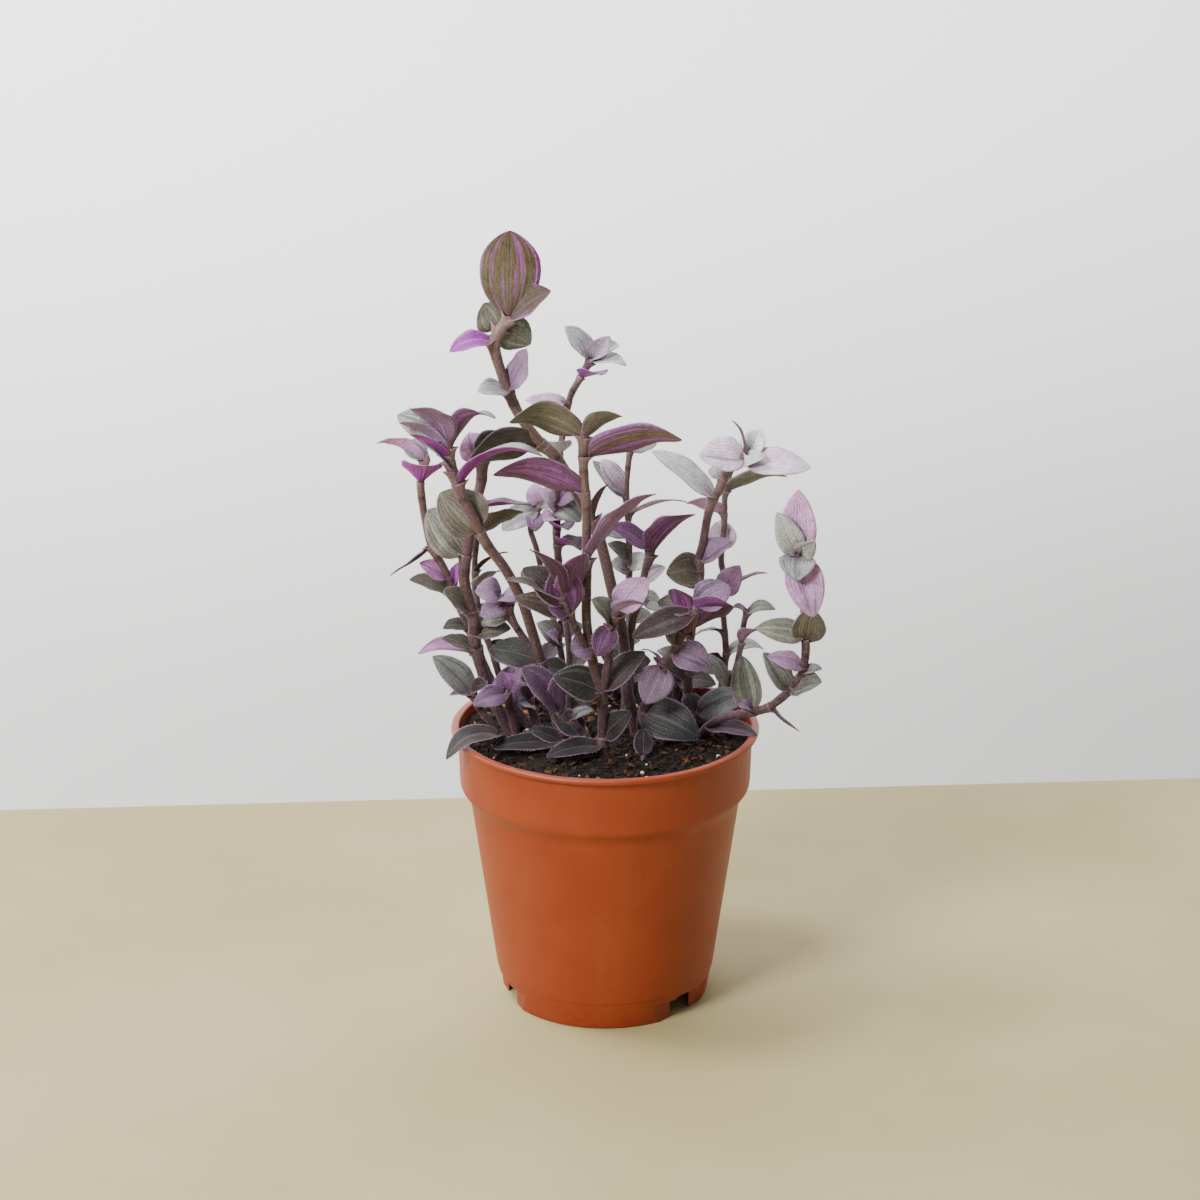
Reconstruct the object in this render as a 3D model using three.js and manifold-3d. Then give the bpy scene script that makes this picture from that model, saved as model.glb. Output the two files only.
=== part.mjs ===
// A young purple tradescantia in a round nursery pot.
// Millimetres, +Z up. The origin is on the table under the middle of the pot, the
// viewer stands on the -Y side, and +X is to the viewer's right.
import * as THREE from "three";
import { mergeVertices } from "three/addons/utils/BufferGeometryUtils.js";
import Module from "manifold-3d";

const wasm = await Module();
wasm.setup();

// ---------------------------------------------------------------- driving dimensions
const pot = {
  height: 95.5,
  lipRadius: 51.3,
  lipHeight: 1.7,
  mouthRadius: 48.6,
  bandTopRadius: 49.1,
  bandRadius: 48.6,
  bandHeight: 19,
  shoulderHeight: 70.5,
  shoulderRadius: 45.2,
  seamHeight: 10,
  seamRadius: 36.9,
  footRadius: 34.8,
  footHeight: 8.5,
  wall: 1.2,
  floor: 1.5,
  sides: 36,
};
const notch = {
  count: 3,
  firstAngle: 49,
  halfWidth: 5,
  height: 8,
  facetHalfAngle: 18,
  facetHeight: 7.2,
};
const drain = { radius: 3.6, distance: 24, sides: 16 };
const soil = {
  level: 90.2,
  mound: 1.3,
  relief: 0.7,
  rings: [34, 16],
  grains: 12,
  grainSize: 2.1,
};
const clearance = 0.3;
const stalkSides = 5;
const rootDepth = 9;
const stalkTaper = 0.78;
const stalkTip = 0.5;
const bladeThickness = 0.7;
const foldedBladeRings = [0, 0.25, 0.62, 1];
const flatBladeRings = [0, 0.16, 0.42, 0.74, 1];
const leastFold = 18;
const bladeTipWidth = 0.9;
const bladeSeat = 0.36;
const bladeTaper = 0.62;
const bladeClasp = 0.22;
const sliver = 0.01;

// ---------------------------------------------------------------- the plant
// Each shoot has its joints from the soil up, as [right, back, up], and its leaves, as
// [joint, reach, width, face, bow, fold, neck]: the joint that the leaf grows from (a
// part of one lies between two joints), the way from there to the leaf's tip, its
// greatest width, the side its upper face looks to, how far its midrib bows that way, the
// degrees that its halves fold up, and how slender it is below its widest place. Shoots
// with the same node are one branched plant.
const shoots = [
  {
    node: "stem_tall",
    girth: 4.1,
    joints: [
      [11, 3, 89], [7, 3, 108], [6, 3, 124], [2, 2, 143], [-2, 1, 160], [-7, 0, 171],
      [-15, -2, 187], [-22, -4, 195], [-29, -5, 206], [-35, -6, 224], [-34, -6, 230],
      [-31, -6, 234],
    ],
    leaves: [
      [11.1, [1, -3, 30], 20, [0, 9, 1], 1, 10, 0.85],
      [11.1, [13, -4, 11], 14, [-6, -5, 5], 0, 32, 0.5],
      [10.2, [-5, 4, 8], 12.5, [0, 9, 1], 0, 8, 0.42],
      [9.4, [-14, -4, -2], 9, [-2, -5, 8], 2, 25, 0.6],
      [10.4, [9, 4, -6], 12.5, [0, 9, 1], 0, 8, 0.42],
      [8.3, [-9, -8, 2], 8, [0, -6, 7], 1, 15, 0.6],
      [6.8, [-23, -13, -1], 14, [1, 8, 3], 2, 15, 0.55],
      [6.6, [-22, 6, 3], 8, [0, 4, 8], 1, 20, 0.55],
      [4.5, [5, -3, 14], 6, [-6, 4, 4], 1, 30, 0.55],
      [8.3, [6, -6, 15], 9.5, [-5, -6, 3], -1, 15, 0.6],
    ],
  },
  {
    node: "stem_back_middle",
    girth: 2.7,
    joints: [
      [-12, 15, 89], [-12, 16, 101], [-12, 17, 115], [-14, 18, 133], [-16, 18, 152],
      [-16, 18, 165], [-15, 18, 183], [-12, 18, 201], [-9, 18, 208], [-5, 18, 215],
    ],
    leaves: [
      [9.1, [-8, 2, 11], 9, [5, -6, 5], 1, 20, 0.6],
      [9.1, [9, -3, 6], 9, [-3, -5, 6], 1, 40, 0.5],
      [8.9, [12, -6, 1], 7, [0, -3, 8], 2, 15, 0.55],
      [8.2, [7, -9, 4], 12, [-1, 4, 8], 0, 28, 1],
      [7, [-14, -3, 2], 8, [0, -4, 8], -1, 20, 0.55],
      [6, [-1, -7, 7], 10, [0, 4, 8], 0, 30, 1],
      [5, [8, -5, -3], 9, [0, -6, 6], 2, 20, 0.55],
      [4.7, [-4, -7, 2], 8, [0, -5, 8], 1, 25, 0.55],
      [4.4, [4, -9, 3], 10, [0, 2, 9], 1, 35, 0.55],
      [4, [8, -5, 0], 12, [0, 2, 9], 1, 40, 0.55],
      [3, [5, 8, 5], 9, [-1, -6, 6], 1, 15, 0.55],
      [0.5, [8, -4, 3], 6, [0, -5, 8], 1, 20, 0.55],
      [9.1, [6, -5, 9], 7, [2, -7, 5], 1, 15, 0.55],
      [1.5, [-13, -5, 3], 9, [0, -5, 7], 1, 15, 0.55],
    ],
  },
  {
    node: "stem_centre",
    girth: 3.5,
    joints: [
      [-1, -17, 89], [-1, -17, 98], [-1, -18, 111], [-4, -19, 124], [-6, -20, 138],
      [-6, -21, 151], [-6, -21, 167], [-6, -21, 178], [-7, -21, 191], [-7, -21, 202],
    ],
    leaves: [
      [8.8, [-23, -7, 8], 14, [0, 7, 5], 4, 12, 0.6],
      [8.7, [12, -3, 9], 10.5, [-3, 6, 5], 2, 20, 0.7],
      [8.2, [31, -8, 9], 13, [0, 7, 5], 3, 15, 0.6],
      [7.3, [-29, -8, 10], 13.5, [0, 7, 5], 3, 15, 0.6],
      [5.5, [21, -4, 25], 12, [-6, 5, 4], 2, 20, 0.75],
      [2.2, [-15, -5, 7], 12, [2, -7, 5], 1, 10, 0.55],
      [2.2, [14, 3, 13], 10, [-5, -6, 4], 1, 10, 0.55],
      [0.9, [9, -3, 10], 9, [-4, -7, 4], 1, 10, 0.55],
      [0.6, [-18, -9, 0], 8, [0, -4, 8], 2, 10, 0.55],
      [3.4, [-6, -4, 0], 10, [0, -7, 5], 1, 15, 0.45],
    ],
  },
  {
    node: "stem_centre",
    girth: 3,
    joints: [[-1, -18, 111], [1, -21, 125], [2, -22, 136], [4, -24, 145]],
    leaves: [
      [2.8, [10, 1, 10], 10.5, [-3, -8, 2], 1, 15, 0.5],
      [2.5, [10, -4, 6], 12, [-1, 4, 8], 1, 30, 0.55],
      [2.2, [-5, -5, -9], 8.5, [-2, -8, 3], 1, 10, 0.55],
      [2.1, [-6, -4, 11], 10, [4, -4, 6], 1, 25, 0.9],
    ],
  },
  {
    node: "stem_centre",
    girth: 2.6,
    joints: [[-5, -19, 126], [-9, -23, 136], [-13, -26, 146], [-14, -27, 150]],
    leaves: [
      [1.6, [4, -7, 23], 14, [-4, 5, 5], 1, 30, 0.9],
      [2, [-13, 2, 12], 11, [5, -7, 3], 2, 15, 0.55],
      [2.2, [-18, -5, 10], 5, [0, -3, 9], 1, 20, 0.55],
      [1.5, [-7, -3, 5], 7, [2, -6, 5], 1, 20, 0.55],
      [2.6, [-9, -7, 19], 13, [5, 4, 5], 1, 28, 0.9],
      [1.6, [-17, -4, 7], 8.5, [0, -6, 6], 1, 15, 0.55],
    ],
  },
  {
    node: "stem_left_front",
    girth: 3.8,
    joints: [
      [-14, 0, 89], [-16, -2, 97], [-18, -6, 108], [-21, -12, 122], [-24, -15, 134],
      [-27, -18, 145], [-32, -20, 156], [-38, -21, 165], [-42, -22, 174], [-46, -22, 182],
      [-49, -22, 192], [-50, -22, 202],
    ],
    leaves: [
      [10.4, [15, -8, 13], 11, [-1, 4, 8], 5, 28, 0.85],
      [10.7, [-16, 5, 7], 11, [2, -7, 5], 1, 12, 0.5],
      [10.2, [-15, -5, 13], 9, [4, 6, 5], 2, 15, 0.6],
      [10, [-12, -8, 12], 7, [4, 6, 4], 1, 15, 0.55],
      [9.7, [-8, -4, 11], 7, [3, -3, 8], 1, 20, 0.55],
      [9.3, [27, -6, 12], 12, [-3, 2, 9], 5, 30, 0.7],
      [7.4, [-13, 5, 12], 17, [2, -8, 3], 1, 15, 0.5],
      [3, [-17, 6, 2], 11, [0, -7, 6], 2, 10, 0.55],
      [10.4, [-11, -8, 16], 16, [3, 5, 7], 2, 26, 0.9],
    ],
  },
  {
    node: "stem_left_front",
    girth: 2.6,
    joints: [
      [-21, -11, 120], [-24, -9, 125], [-27, -8, 129], [-30, -8, 134], [-32, -8, 140],
      [-34, -9, 143],
    ],
    leaves: [
      [5, [-8, -3, 3], 10, [1, -6, 6], 2, 15, 0.55],
      [4.8, [6, -5, 1], 9, [0, -5, 8], 2, 15, 0.55],
      [4.2, [-8, -5, -3], 7, [0, -8, 4], 1, 10, 0.55],
      [3.8, [6, -5, 4], 6, [-4, 5, 5], 1, 25, 0.55],
      [3.3, [-10, 2, -3], 6, [0, -6, 7], 1, 15, 0.55],
    ],
  },
  {
    node: "stem_left_middle",
    girth: 4.3,
    joints: [
      [-30, -1, 89], [-34, -1, 98], [-38, -2, 106], [-41, -3, 117], [-43, -4, 127],
      [-43, -5, 134], [-46, -5, 148], [-44, -5, 163], [-42, -4, 173], [-40, -3, 181],
      [-40, -2, 189],
    ],
    leaves: [
      [9.6, [-4, 1, 10], 11, [1, -8, 3], 1, 10, 0.55],
      [9.6, [7, -3, 12], 12, [-3, 6, 5], 1, 28, 0.9],
      [7.9, [17, -2, 2], 8, [0, 1, 9], 0, 30, 0.55],
      [6.5, [-12, 3, 15], 16, [3, -8, 2], 2, 12, 0.55],
      [5.2, [-9, -4, 9], 9, [3, -6, 6], 1, 25, 0.55],
      [4.2, [12, -2, 3], 8, [0, -6, 7], 1, 12, 0.55],
    ],
  },
  {
    node: "stem_left_back",
    girth: 2.4,
    joints: [
      [-28, 13, 89], [-33, 12, 99], [-37, 11, 114], [-41, 10, 127], [-43, 9, 139],
      [-43, 8, 150], [-42, 7, 159],
    ],
    leaves: [
      [6, [15, -4, 10], 10, [-2, 6, 6], 1, 20, 0.55],
      [4.6, [11, -2, 8], 5, [-4, 3, 8], 1, 20, 0.55],
      [4, [8, -5, 9], 8, [-4, 5, 6], 1, 20, 0.55],
      [3, [5, 9, 4], 10, [0, -4, 8], 1, 15, 0.55],
      [2, [4, 3, 6], 9, [-1, -6, 6], 1, 15, 0.55],
    ],
  },
  {
    node: "stem_far_left",
    girth: 3,
    joints: [
      [-24, 6, 89], [-29, 7, 97], [-35, 8, 103], [-40, 8, 112], [-45, 7, 126],
      [-50, 6, 139], [-53, 5, 148], [-57, 4, 156], [-59, 4, 166], [-60, 4, 174],
      [-60, 4, 179], [-58, 4, 186],
    ],
    leaves: [
      [10.7, [-15, -4, 9], 8, [2, 6, 6], 2, 25, 0.55],
      [10.9, [-8, 4, 5], 7.5, [2, -6, 6], 1, 10, 0.55],
      [9.7, [2, -9, 9], 15, [0, 5, 7], 1, 30, 1],
      [7, [-14, -3, -8], 6, [-5, 2, 8], -1, 20, 0.55],
      [5.6, [-9, -2, 6], 7, [3, -6, 5], 1, 15, 0.55],
      [5.2, [2, 3, 8], 5, [-5, -6, 1], 0, 10, 0.55],
      [5, [-14, -5, 7], 8.5, [0, -4, 8], 1, 15, 0.55],
      [4.1, [-8, -4, 1], 6, [0, -4, 7], 1, 15, 0.55],
      [3.4, [-20, -4, 2], 8, [0, -3, 8], 4, 15, 0.55],
      [2, [7, 0, 11], 8, [0, -7, 4], 1, 10, 0.55],
    ],
  },
  {
    node: "stem_low_left",
    girth: 2.6,
    joints: [[-34, 0, 89], [-38, -1, 96], [-42, -2, 102], [-44, -4, 110]],
    leaves: [
      [2.6, [-13, -2, 14], 10, [4, -7, 4], 1, 12, 0.6],
      [2.8, [5, -6, 4], 6, [-2, -6, 6], 1, 20, 0.55],
      [2.5, [-8, -4, 2], 4, [0, -3, 9], 1, 20, 0.55],
    ],
  },
  {
    node: "stem_lilac_left",
    girth: 3,
    joints: [[-28, -8, 89], [-31, -9, 102], [-32, -10, 110]],
    leaves: [
      [2, [-11, -5, -2], 8, [0, -7, 6], 2, 15, 0.55],
      [2, [-2, 3, 6], 8, [0, -8, 3], 1, 10, 0.55],
    ],
  },
  {
    node: "stem_cup_left",
    girth: 2.8,
    joints: [[-20, -1, 89], [-24, 0, 99], [-25, 0, 104]],
    leaves: [
      [2, [0, -5, 7], 7, [0, 6, 5], 0, 35, 0.55],
      [1.8, [-8, -1, 6], 8, [2, -7, 5], 1, 15, 0.55],
      [1.5, [-4, -6, 3], 8, [0, -6, 7], 1, 15, 0.55],
    ],
  },
  {
    node: "stem_trumpet",
    girth: 2.8,
    joints: [[-2, -11, 89], [-9, -13, 99], [-15, -15, 105]],
    leaves: [
      [2.1, [-11, -8, 18], 13, [4, -5, 5], 1, 28, 0.85],
      [1.8, [1, -4, 18], 11, [-5, 4, 5], 1, 28, 0.9],
      [0.7, [-10, 5, 6], 9, [2, -7, 5], 1, 10, 0.55],
    ],
  },
  {
    node: "stem_right_tall",
    girth: 3.3,
    joints: [
      [29, 20, 89], [28, 18, 98], [28, 14, 113], [29, 10, 128], [31, 6, 142],
      [31, 5, 152], [32, 4, 157], [34, 3, 169], [37, 2, 176], [40, 1, 183], [45, 0, 187],
    ],
    leaves: [
      [10.1, [-15, -3, 2], 13, [0, -6, 6], 1, 10, 0.5],
      [9.8, [22, -4, -1], 11, [0, -6, 7], 1, 10, 0.55],
      [10.2, [-4, -1, 13], 5, [9, 0, 2], 1, 15, 0.55],
      [10.1, [5, 6, 8], 8, [-2, -8, 3], 1, 15, 0.55],
      [9.5, [9, -5, 4], 6, [0, -6, 6], 1, 20, 0.55],
      [8.5, [-4, 4, 3], 6, [0, -6, 6], 1, 15, 0.55],
      [7.5, [-20, -2, 17], 10, [5, -5, 6], 2, 15, 0.6],
      [4.9, [10, -5, 8], 8, [-2, -7, 5], 1, 15, 0.5],
      [4.5, [-11, -7, 1], 12.5, [0, -8, 4], 1, 5, 0.42],
      [3, [4, 9, 4], 10, [-1, -5, 7], 1, 15, 0.55],
      [1.7, [8, -5, 4], 8, [0, -6, 6], 1, 15, 0.55],
    ],
  },
  {
    node: "stem_right_thin",
    girth: 2.3,
    joints: [
      [37, 24, 89], [40, 26, 101], [41, 26, 112], [40, 26, 126], [40, 26, 138],
      [39, 26, 145], [40, 26, 158], [40, 26, 168], [42, 26, 176],
    ],
    leaves: [
      [8, [-3, 4, 7], 6, [2, -7, 3], 1, 20, 0.55],
      [7, [20, -5, 8], 9, [-4, 6, 4], 2, 20, 0.55],
      [6.2, [-13, -4, 6], 9, [2, 6, 6], 1, 15, 0.55],
      [5.2, [0, 4, 10], 10, [0, -9, 2], 1, 10, 0.55],
      [3.5, [5, -4, 11], 9, [-1, -8, 3], 1, 15, 0.55],
      [3.5, [14, -3, 9], 6.5, [-4, 2, 8], 1, 20, 0.55],
      [2.5, [-10, -3, 0], 5, [0, 2, 9], 1, 15, 0.55],
      [1.9, [13, 3, 1], 6, [0, -3, 9], 3, 15, 0.55],
    ],
  },
  {
    node: "stem_right_arching",
    girth: 3,
    joints: [
      [31, 2, 89], [35, 0, 95], [40, -3, 99], [45, -6, 101], [49, -9, 103],
      [54, -12, 106], [60, -14, 112], [64, -15, 118], [65, -16, 124], [65, -16, 131],
      [64, -16, 143], [63, -15, 152], [62, -15, 159],
    ],
    leaves: [
      [12.1, [0, 2, 21], 12, [0, -9, 1], 1, 12, 0.45],
      [12.1, [-7, -3, 15], 9, [2, -9, 2], 1, 10, 0.5],
      [12.1, [-1, -8, -6], 12, [0, -6, 7], 1, 15, 0.45],
      [11.9, [5, -7, -18], 12.5, [0, -9, 2], 1, 10, 0.5],
      [8.9, [1, -5, 13], 11.5, [0, -9, 2], 1, 10, 0.6],
      [9.1, [-16, -3, 4], 9, [1, -7, 6], 1, 10, 0.55],
      [7.5, [-12, -3, 5], 7, [2, -6, 6], 1, 15, 0.55],
      [7.2, [6, -2, 2], 4, [-1, -5, 7], 1, 15, 0.55],
      [6.2, [9, -7, 5], 10, [0, -6, 7], 1, 10, 0.45],
      [6.1, [-9, -3, 14], 8.5, [3, -7, 4], 1, 15, 0.55],
      [5, [10, -3, -7], 5.5, [5, 2, 8], -1, 20, 0.55],
      [4, [-5, -2, 3], 5, [0, -4, 8], 1, 25, 0.55],
      [3.8, [-3, 5, 18], 10, [0, -9, 2], 1, 12, 0.55],
      [0.7, [16, -13, 3], 9, [0, -2, 8], 1, 15, 0.55],
      [12.1, [5, -6, 6], 7, [2, -8, 3], 1, 15, 0.55],
    ],
  },
  {
    node: "stem_right_low",
    girth: 2.2,
    joints: [
      [39, 21, 89], [42, 22, 99], [45, 22, 110], [46, 22, 117], [47, 22, 124],
      [48, 22, 127],
    ],
    leaves: [
      [4.9, [-5, -2, 3], 4, [0, -3, 8], 1, 15, 0.55],
      [4.9, [9, -4, 3], 6, [-1, -4, 8], 2, 15, 0.55],
      [2.8, [6, -5, 7], 9, [-2, 4, 7], 1, 40, 0.9],
      [1.3, [5, 8, -2], 8, [0, -4, 8], 1, 15, 0.55],
      [1, [-7, -2, 14], 6, [3, -6, 5], 1, 15, 0.55],
    ],
  },
  {
    node: "stem_front_middle",
    girth: 3.2,
    joints: [
      [13, -5, 89], [12, -6, 99], [15, -10, 111], [19, -15, 122], [22, -17, 127],
      [25, -20, 134], [28, -22, 139], [29, -23, 144],
    ],
    leaves: [
      [5.1, [15, -6, 12], 16, [-3, 8, 3], 1, 30, 0.85],
      [7.1, [11, 4, 6], 11.5, [-2, -7, 5], 1, 10, 0.5],
      [6.6, [-20, -4, -7], 9, [-2, -7, 4], 2, 10, 0.6],
      [6.7, [-12, 5, 2], 8, [0, -6, 6], 1, 15, 0.55],
      [4, [12, -4, -4], 11, [0, -7, 6], 2, 15, 0.55],
      [3.8, [15, 3, -8], 6, [2, -5, 6], 1, 15, 0.55],
      [3, [-6, -5, -12], 11.5, [0, -9, 3], 0, 10, 0.5],
      [3, [-7, -2, 6], 4, [2, 2, 9], 1, 10, 0.55],
      [1.3, [18, -10, -5], 15, [0, -7, 6], 2, 8, 0.5],
      [5.1, [-3, -5, 17], 11, [4, 7, 3], 1, 28, 0.95],
      [4.5, [-5, -3, 9], 8, [3, -7, 5], 1, 15, 0.55],
    ],
  },
  {
    node: "stem_middle_right",
    girth: 3.4,
    joints: [
      [9, 7, 89], [8, 7, 101], [8, 7, 115], [9, 6, 130], [11, 5, 137], [13, 4, 146],
      [15, 3, 155],
    ],
    leaves: [
      [5.7, [14, -6, 17], 18, [-5, 5, 5], 1, 35, 0.9],
      [6.1, [-14, -2, 9], 8, [3, -5, 6], 1, 15, 0.55],
      [4, [8, 4, -3], 8, [0, -6, 6], 1, 10, 0.55],
      [2, [-7, 6, 4], 9, [0, -4, 8], 1, 15, 0.55],
      [1, [8, 6, 3], 8, [0, -6, 6], 1, 15, 0.55],
    ],
  },
  {
    node: "stem_back_slim",
    girth: 2.3,
    joints: [
      [6, 18, 89], [7, 18, 104], [8, 18, 126], [8, 17, 143], [8, 16, 156], [7, 15, 171],
      [8, 14, 186],
    ],
    leaves: [
      [5.9, [9, 6, 2], 7, [-1, -5, 7], 1, 15, 0.55],
      [5, [-8, -2, 12], 7.5, [1, -8, 4], 1, 10, 0.9],
      [4.5, [19, -4, 7], 6.5, [-2, 3, 8], 1, 20, 0.55],
      [4, [-8, -2, 1], 6, [0, -5, 8], 1, 10, 0.55],
      [3.15, [7, -4, 4], 7, [-2, -6, 5], 1, 20, 0.55],
      [1.9, [6, 8, 3], 10, [0, -4, 8], 1, 15, 0.55],
      [1.2, [8, -5, 5], 9, [0, -6, 6], 1, 15, 0.55],
    ],
  },
  {
    node: "stem_back_left",
    girth: 2.3,
    joints: [
      [-11, 24, 89], [-13, 24, 100], [-16, 25, 117], [-20, 26, 134], [-23, 26, 148],
      [-25, 26, 156], [-22, 26, 163],
    ],
    leaves: [
      [5.8, [-12, -3, -6], 9, [0, -7, 6], 2, 10, 0.55],
      [5.6, [0, -7, -4], 7, [0, -6, 6], 1, 15, 0.55],
      [6, [13, -2, 9], 8, [-2, -6, 6], 2, 15, 0.55],
      [6, [-2, 3, 7], 7, [0, -8, 3], 1, 10, 0.55],
      [3, [-8, 6, 5], 10, [1, -4, 8], 1, 15, 0.55],
      [2, [8, 6, 3], 9, [0, -4, 8], 1, 15, 0.55],
      [1.9, [-7, -3, 8], 9, [0, -5, 7], 1, 15, 0.55],
    ],
  },
  {
    node: "sprout_right",
    girth: 2.6,
    joints: [[30, 8, 89], [31, 8, 96]],
    leaves: [
      [1, [17, -3, 8], 10, [0, -7, 6], 2, 10, 0.55],
      [1, [-4, 5, 5], 7, [0, -5, 8], 1, 20, 0.55],
    ],
  },
  {
    node: "sprout_rim",
    girth: 2.4,
    joints: [[-32, -10, 89], [-34, -15, 97]],
    leaves: [[1, [-18, -9, -4], 11, [-1, -2, 9], 4, 10, 0.55]],
  },
  {
    node: "sprout_front_left",
    girth: 2.4,
    joints: [[-12, -13, 89], [-14, -13, 94]],
    leaves: [
      [1, [-23, -7, 1], 8, [0, -4, 8], 1, 10, 0.55],
      [1, [-11, 1, 4], 6, [0, -5, 8], 1, 10, 0.55],
    ],
  },
  {
    node: "sprout_front",
    girth: 1.8,
    joints: [[12.5, -20, 88], [12.5, -20, 91.5]],
    leaves: [[1, [0, 3, 9], 6.5, [0, -9, 2], 0, 15, 0.55]],
  },
  {
    node: "sprout_back_left",
    girth: 2.4,
    joints: [[-18, 34, 89], [-19, 35, 97], [-21, 36, 104]],
    leaves: [
      [2, [-10, 5, 3], 10, [1, -2, 9], 2, 15, 0.55],
      [2, [7, 3, 6], 9, [-2, -3, 8], 1, 20, 0.55],
      [1.2, [2, 12, 2], 9, [0, -2, 9], 2, 15, 0.55],
    ],
  },
  {
    node: "sprout_back",
    girth: 2.4,
    joints: [[3, 36, 89], [4, 37, 98], [3, 38, 107]],
    leaves: [
      [2, [-9, 4, 4], 10, [1, -2, 9], 2, 15, 0.55],
      [2, [9, 3, 4], 9, [-1, -3, 8], 1, 20, 0.55],
      [1, [4, 11, 3], 9, [0, -2, 9], 2, 15, 0.55],
    ],
  },
  {
    node: "sprout_back_right",
    girth: 2.4,
    joints: [[24, 34, 89], [25, 35, 97], [26, 36, 103]],
    leaves: [
      [2, [-8, 4, 4], 9, [1, -2, 9], 2, 15, 0.55],
      [2, [10, 3, 3], 9, [-1, -3, 8], 1, 20, 0.55],
      [1, [3, 11, 2], 9, [0, -2, 9], 2, 15, 0.55],
    ],
  },
];

// ---------------------------------------------------------------- solids and meshes
function asSolid(geometry) {
  const bare = geometry.clone();
  bare.deleteAttribute("normal");
  bare.deleteAttribute("uv");
  const merged = mergeVertices(bare, 1e-4);
  const triangles = [];
  for (let i = 0; i < merged.index.count; i += 3) {
    const [a, b, c] = [0, 1, 2].map((k) => merged.index.getX(i + k));
    if (a !== b && b !== c && c !== a) {
      triangles.push(a, b, c);
    }
  }
  return new wasm.Manifold(
    new wasm.Mesh({
      numProp: 3,
      vertProperties: new Float32Array(merged.attributes.position.array),
      triVerts: new Uint32Array(triangles),
    }),
  );
}

function asGeometry(solid) {
  const mesh = solid.getMesh();
  const geometry = new THREE.BufferGeometry();
  geometry.setAttribute("position", new THREE.BufferAttribute(mesh.vertProperties, 3));
  geometry.setIndex(new THREE.BufferAttribute(mesh.triVerts, 1));
  geometry.computeVertexNormals();
  return geometry;
}

// The biggest body of a joined solid, without scraps, sealed hollows or the slivers that
// joining leaves.
function biggestBody(solid) {
  const bodies = solid.asOriginal().simplify(sliver).decompose();
  return bodies.reduce((best, body) => (body.volume() > best.volume() ? body : best));
}

// A closed skin over a row of rings with the same number of points. From column
// `turnAt` on, the quads are split along their other diagonal.
function loft(rings, turnAt = Infinity) {
  const count = rings[0].length;
  const positions = rings.flat().flatMap((p) => [p.x, p.y, p.z]);
  const triangles = [];
  for (let i = 0; i + 1 < rings.length; i += 1) {
    for (let k = 0; k < count; k += 1) {
      const next = (k + 1) % count;
      const a = i * count + k;
      const b = i * count + next;
      const c = a + count;
      const d = b + count;
      if (k < turnAt) {
        triangles.push(a, b, d, a, d, c);
      } else {
        triangles.push(a, b, c, b, d, c);
      }
    }
  }
  const last = (rings.length - 1) * count;
  for (let k = 1; k + 1 < count; k += 1) {
    triangles.push(0, k + 1, k);
    triangles.push(last, last + k, last + k + 1);
  }
  const geometry = new THREE.BufferGeometry();
  geometry.setAttribute("position", new THREE.Float32BufferAttribute(positions, 3));
  geometry.setIndex(triangles);
  return asSolid(geometry);
}

function latheSolid(profile, sides) {
  const points = profile.map(([radius, height]) => new THREE.Vector2(radius, height));
  const geometry = new THREE.LatheGeometry(points, sides);
  geometry.rotateX(Math.PI / 2);
  return asSolid(geometry);
}

function boxSolid(size, centre, turnDegrees) {
  const geometry = new THREE.BoxGeometry(...size);
  geometry.translate(...centre);
  geometry.rotateZ(THREE.MathUtils.degToRad(turnDegrees));
  return asSolid(geometry);
}

// ---------------------------------------------------------------- pot
const bandBottom = pot.height - pot.bandHeight;

// The inner face of the pot's wall at a height over the floor.
function innerRadius(height) {
  const stations = [
    [pot.footHeight, pot.seamRadius - pot.wall - 0.3],
    [pot.shoulderHeight, pot.shoulderRadius - pot.wall],
    [bandBottom, pot.bandRadius - pot.wall],
    [pot.height, pot.mouthRadius],
  ];
  const upper = stations.findIndex(([level]) => level >= height);
  const [z0, r0] = stations[Math.max(upper - 1, 0)];
  const [z1, r1] = stations[Math.max(upper, 1)];
  return r0 + ((r1 - r0) * (height - z0)) / (z1 - z0);
}

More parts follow.
